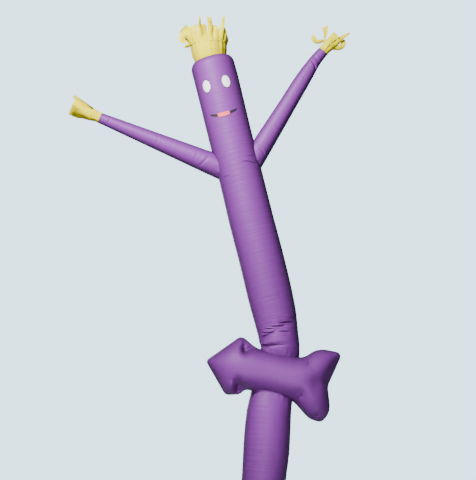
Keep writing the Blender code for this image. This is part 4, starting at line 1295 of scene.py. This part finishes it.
def smile(band):
    """A band on the head, at azimuth + a, level - SMILE (1 - (a / the smile's half angle)^2) + half v.

    There a is half angle * u, and half is half height * (1 - (1 - ends) u^4), so that the band narrows.
    """
    u = np.linspace(-1, 1, BAND_CELLS + 1)[None]
    v = np.linspace(1, -1, BAND_ROWS + 1)[:, None]
    half = band.half_height * (1 - (1 - band.ends) * u**4)
    droop = SMILE * (1 - (band.half_angle * u / FACE_BANDS[0].half_angle) ** 2)
    azimuths = MOUTH_AZIMUTH + band.half_angle * u + 0 * v
    levels = MOUTH_LEVEL - droop + half * v
    points = on_head(azimuths, levels, band.lift + FACE_CLOTH)
    row, cell = np.meshgrid(np.arange(BAND_ROWS), np.arange(BAND_CELLS), indexing="ij")
    corners = np.array([0, BAND_CELLS + 1, BAND_CELLS + 2, 1])
    quads = ((row * (BAND_CELLS + 1) + cell)[..., None] + corners).reshape(-1, 4)
    arc = math.radians(band.half_angle) * TUBE_RADIUS
    cloth = np.stack([arc * u + 0 * v, half * v], axis=-1).reshape(-1, 2)
    away = np.minimum(half * (1 - np.abs(v)), arc * (1 - np.abs(u)))
    seam = np.stack([arc * u + 0 * v, away], axis=-1).reshape(-1, 2)
    return add_cloth(band.name, points, quads.tolist(), cloth[quads], seam[quads], band.finish, FACE_CLOTH)


for band in FACE_BANDS:
    shown = smile(band)
    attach(shown, "root")
    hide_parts(band.node)


# The floor, the light and the camera. The floor is a pale disc, and the sky a pale even light that the
# camera sees brighter than the cloth does. A key light is high in front at the left, with a soft fill in
# front of the figure, a small bounce from low under the arrow, and a light behind for the back.
FLOOR_LEVEL = -0.001


def disc(name, radius, sides):
    """A flat disc, just under the hem: radius (cos t, sin t) round its middle."""
    t = 2 * np.pi * np.arange(sides) / sides
    mesh = bpy.data.meshes.new(name)
    points = np.stack([radius * np.cos(t), radius * np.sin(t), np.full(sides, FLOOR_LEVEL)], axis=1)
    mesh.from_pydata(points.tolist(), [], [list(range(sides))])
    made = bpy.data.objects.new(name, mesh)
    bpy.context.scene.collection.objects.link(made)
    return made


floor = disc("floor", 30.0, 128)
floor_finish = bpy.data.materials.new("floor_finish")
floor_finish.use_nodes = True
floor_shader = floor_finish.node_tree.nodes["Principled BSDF"]
floor_shader.inputs["Base Color"].default_value = (0.50, 0.52, 0.54, 1.0)
floor_shader.inputs["Roughness"].default_value = 0.8
floor.data.materials.append(floor_finish)

world = bpy.data.worlds.new("pale_sky")
world.use_nodes = True
sky_nodes, sky_links = world.node_tree.nodes, world.node_tree.links
seen = sky_nodes["Background"]
seen.inputs["Color"].default_value = (0.58, 0.83, 1.0, 1.0)
seen.inputs["Strength"].default_value = 3.2
felt = sky_nodes.new("ShaderNodeBackground")
felt.inputs["Color"].default_value = (0.85, 0.90, 1.0, 1.0)
felt.inputs["Strength"].default_value = 0.24
path = sky_nodes.new("ShaderNodeLightPath")
either = sky_nodes.new("ShaderNodeMixShader")
sky_links.new(path.outputs["Is Camera Ray"], either.inputs[0])
sky_links.new(felt.outputs[0], either.inputs[1])
sky_links.new(seen.outputs[0], either.inputs[2])
sky_links.new(either.outputs[0], sky_nodes["World Output"].inputs["Surface"])
bpy.context.scene.world = world


def soft_light(name, place, target, size, power, spread, colour):
    """A square area light at a place, turned to its target, whose beam spreads this many degrees."""
    lamp = bpy.data.lights.new(name, "AREA")
    lamp.size = size
    lamp.energy = power
    lamp.spread = math.radians(spread)
    lamp.color = colour
    made = bpy.data.objects.new(name, lamp)
    made.location = place
    made.rotation_euler = (Vector(target) - Vector(place)).to_track_quat("-Z", "Y").to_euler()
    bpy.context.scene.collection.objects.link(made)


soft_light("key", (-2.6, -5.6, 8.2), (0.2, 0.0, 4.9), 1.5, 530, 90, (1.0, 0.97, 0.95))
soft_light("fill", (-1.0, -11.0, 3.4), (0.4, 0.0, 3.2), 4.0, 300, 180, (0.97, 0.96, 1.0))
soft_light("bounce", (0.2, -4.2, 0.3), (0.6, 0.0, 2.20), 0.8, 4.0, 25, (1.0, 0.97, 0.98))
soft_light("back", (-2.5, 10.0, 4.5), (0.3, 0.0, 3.0), 4.0, 420, 180, (0.96, 0.97, 1.0))

CAMERA_PLACE = (0.299, -15.0, 1.56)
CAMERA_PITCH = math.radians(8.35)
FOCAL_PIXELS = 1495
PICTURE_HEIGHT = 480
lens = bpy.data.cameras.new("camera")
lens.sensor_width = 36.0
lens.lens = lens.sensor_width * FOCAL_PIXELS / PICTURE_HEIGHT
camera = bpy.data.objects.new("camera", lens)
camera.location = CAMERA_PLACE
camera.rotation_euler = (math.radians(90) + CAMERA_PITCH, 0.0, 0.0)
bpy.context.scene.collection.objects.link(camera)
bpy.context.scene.camera = camera
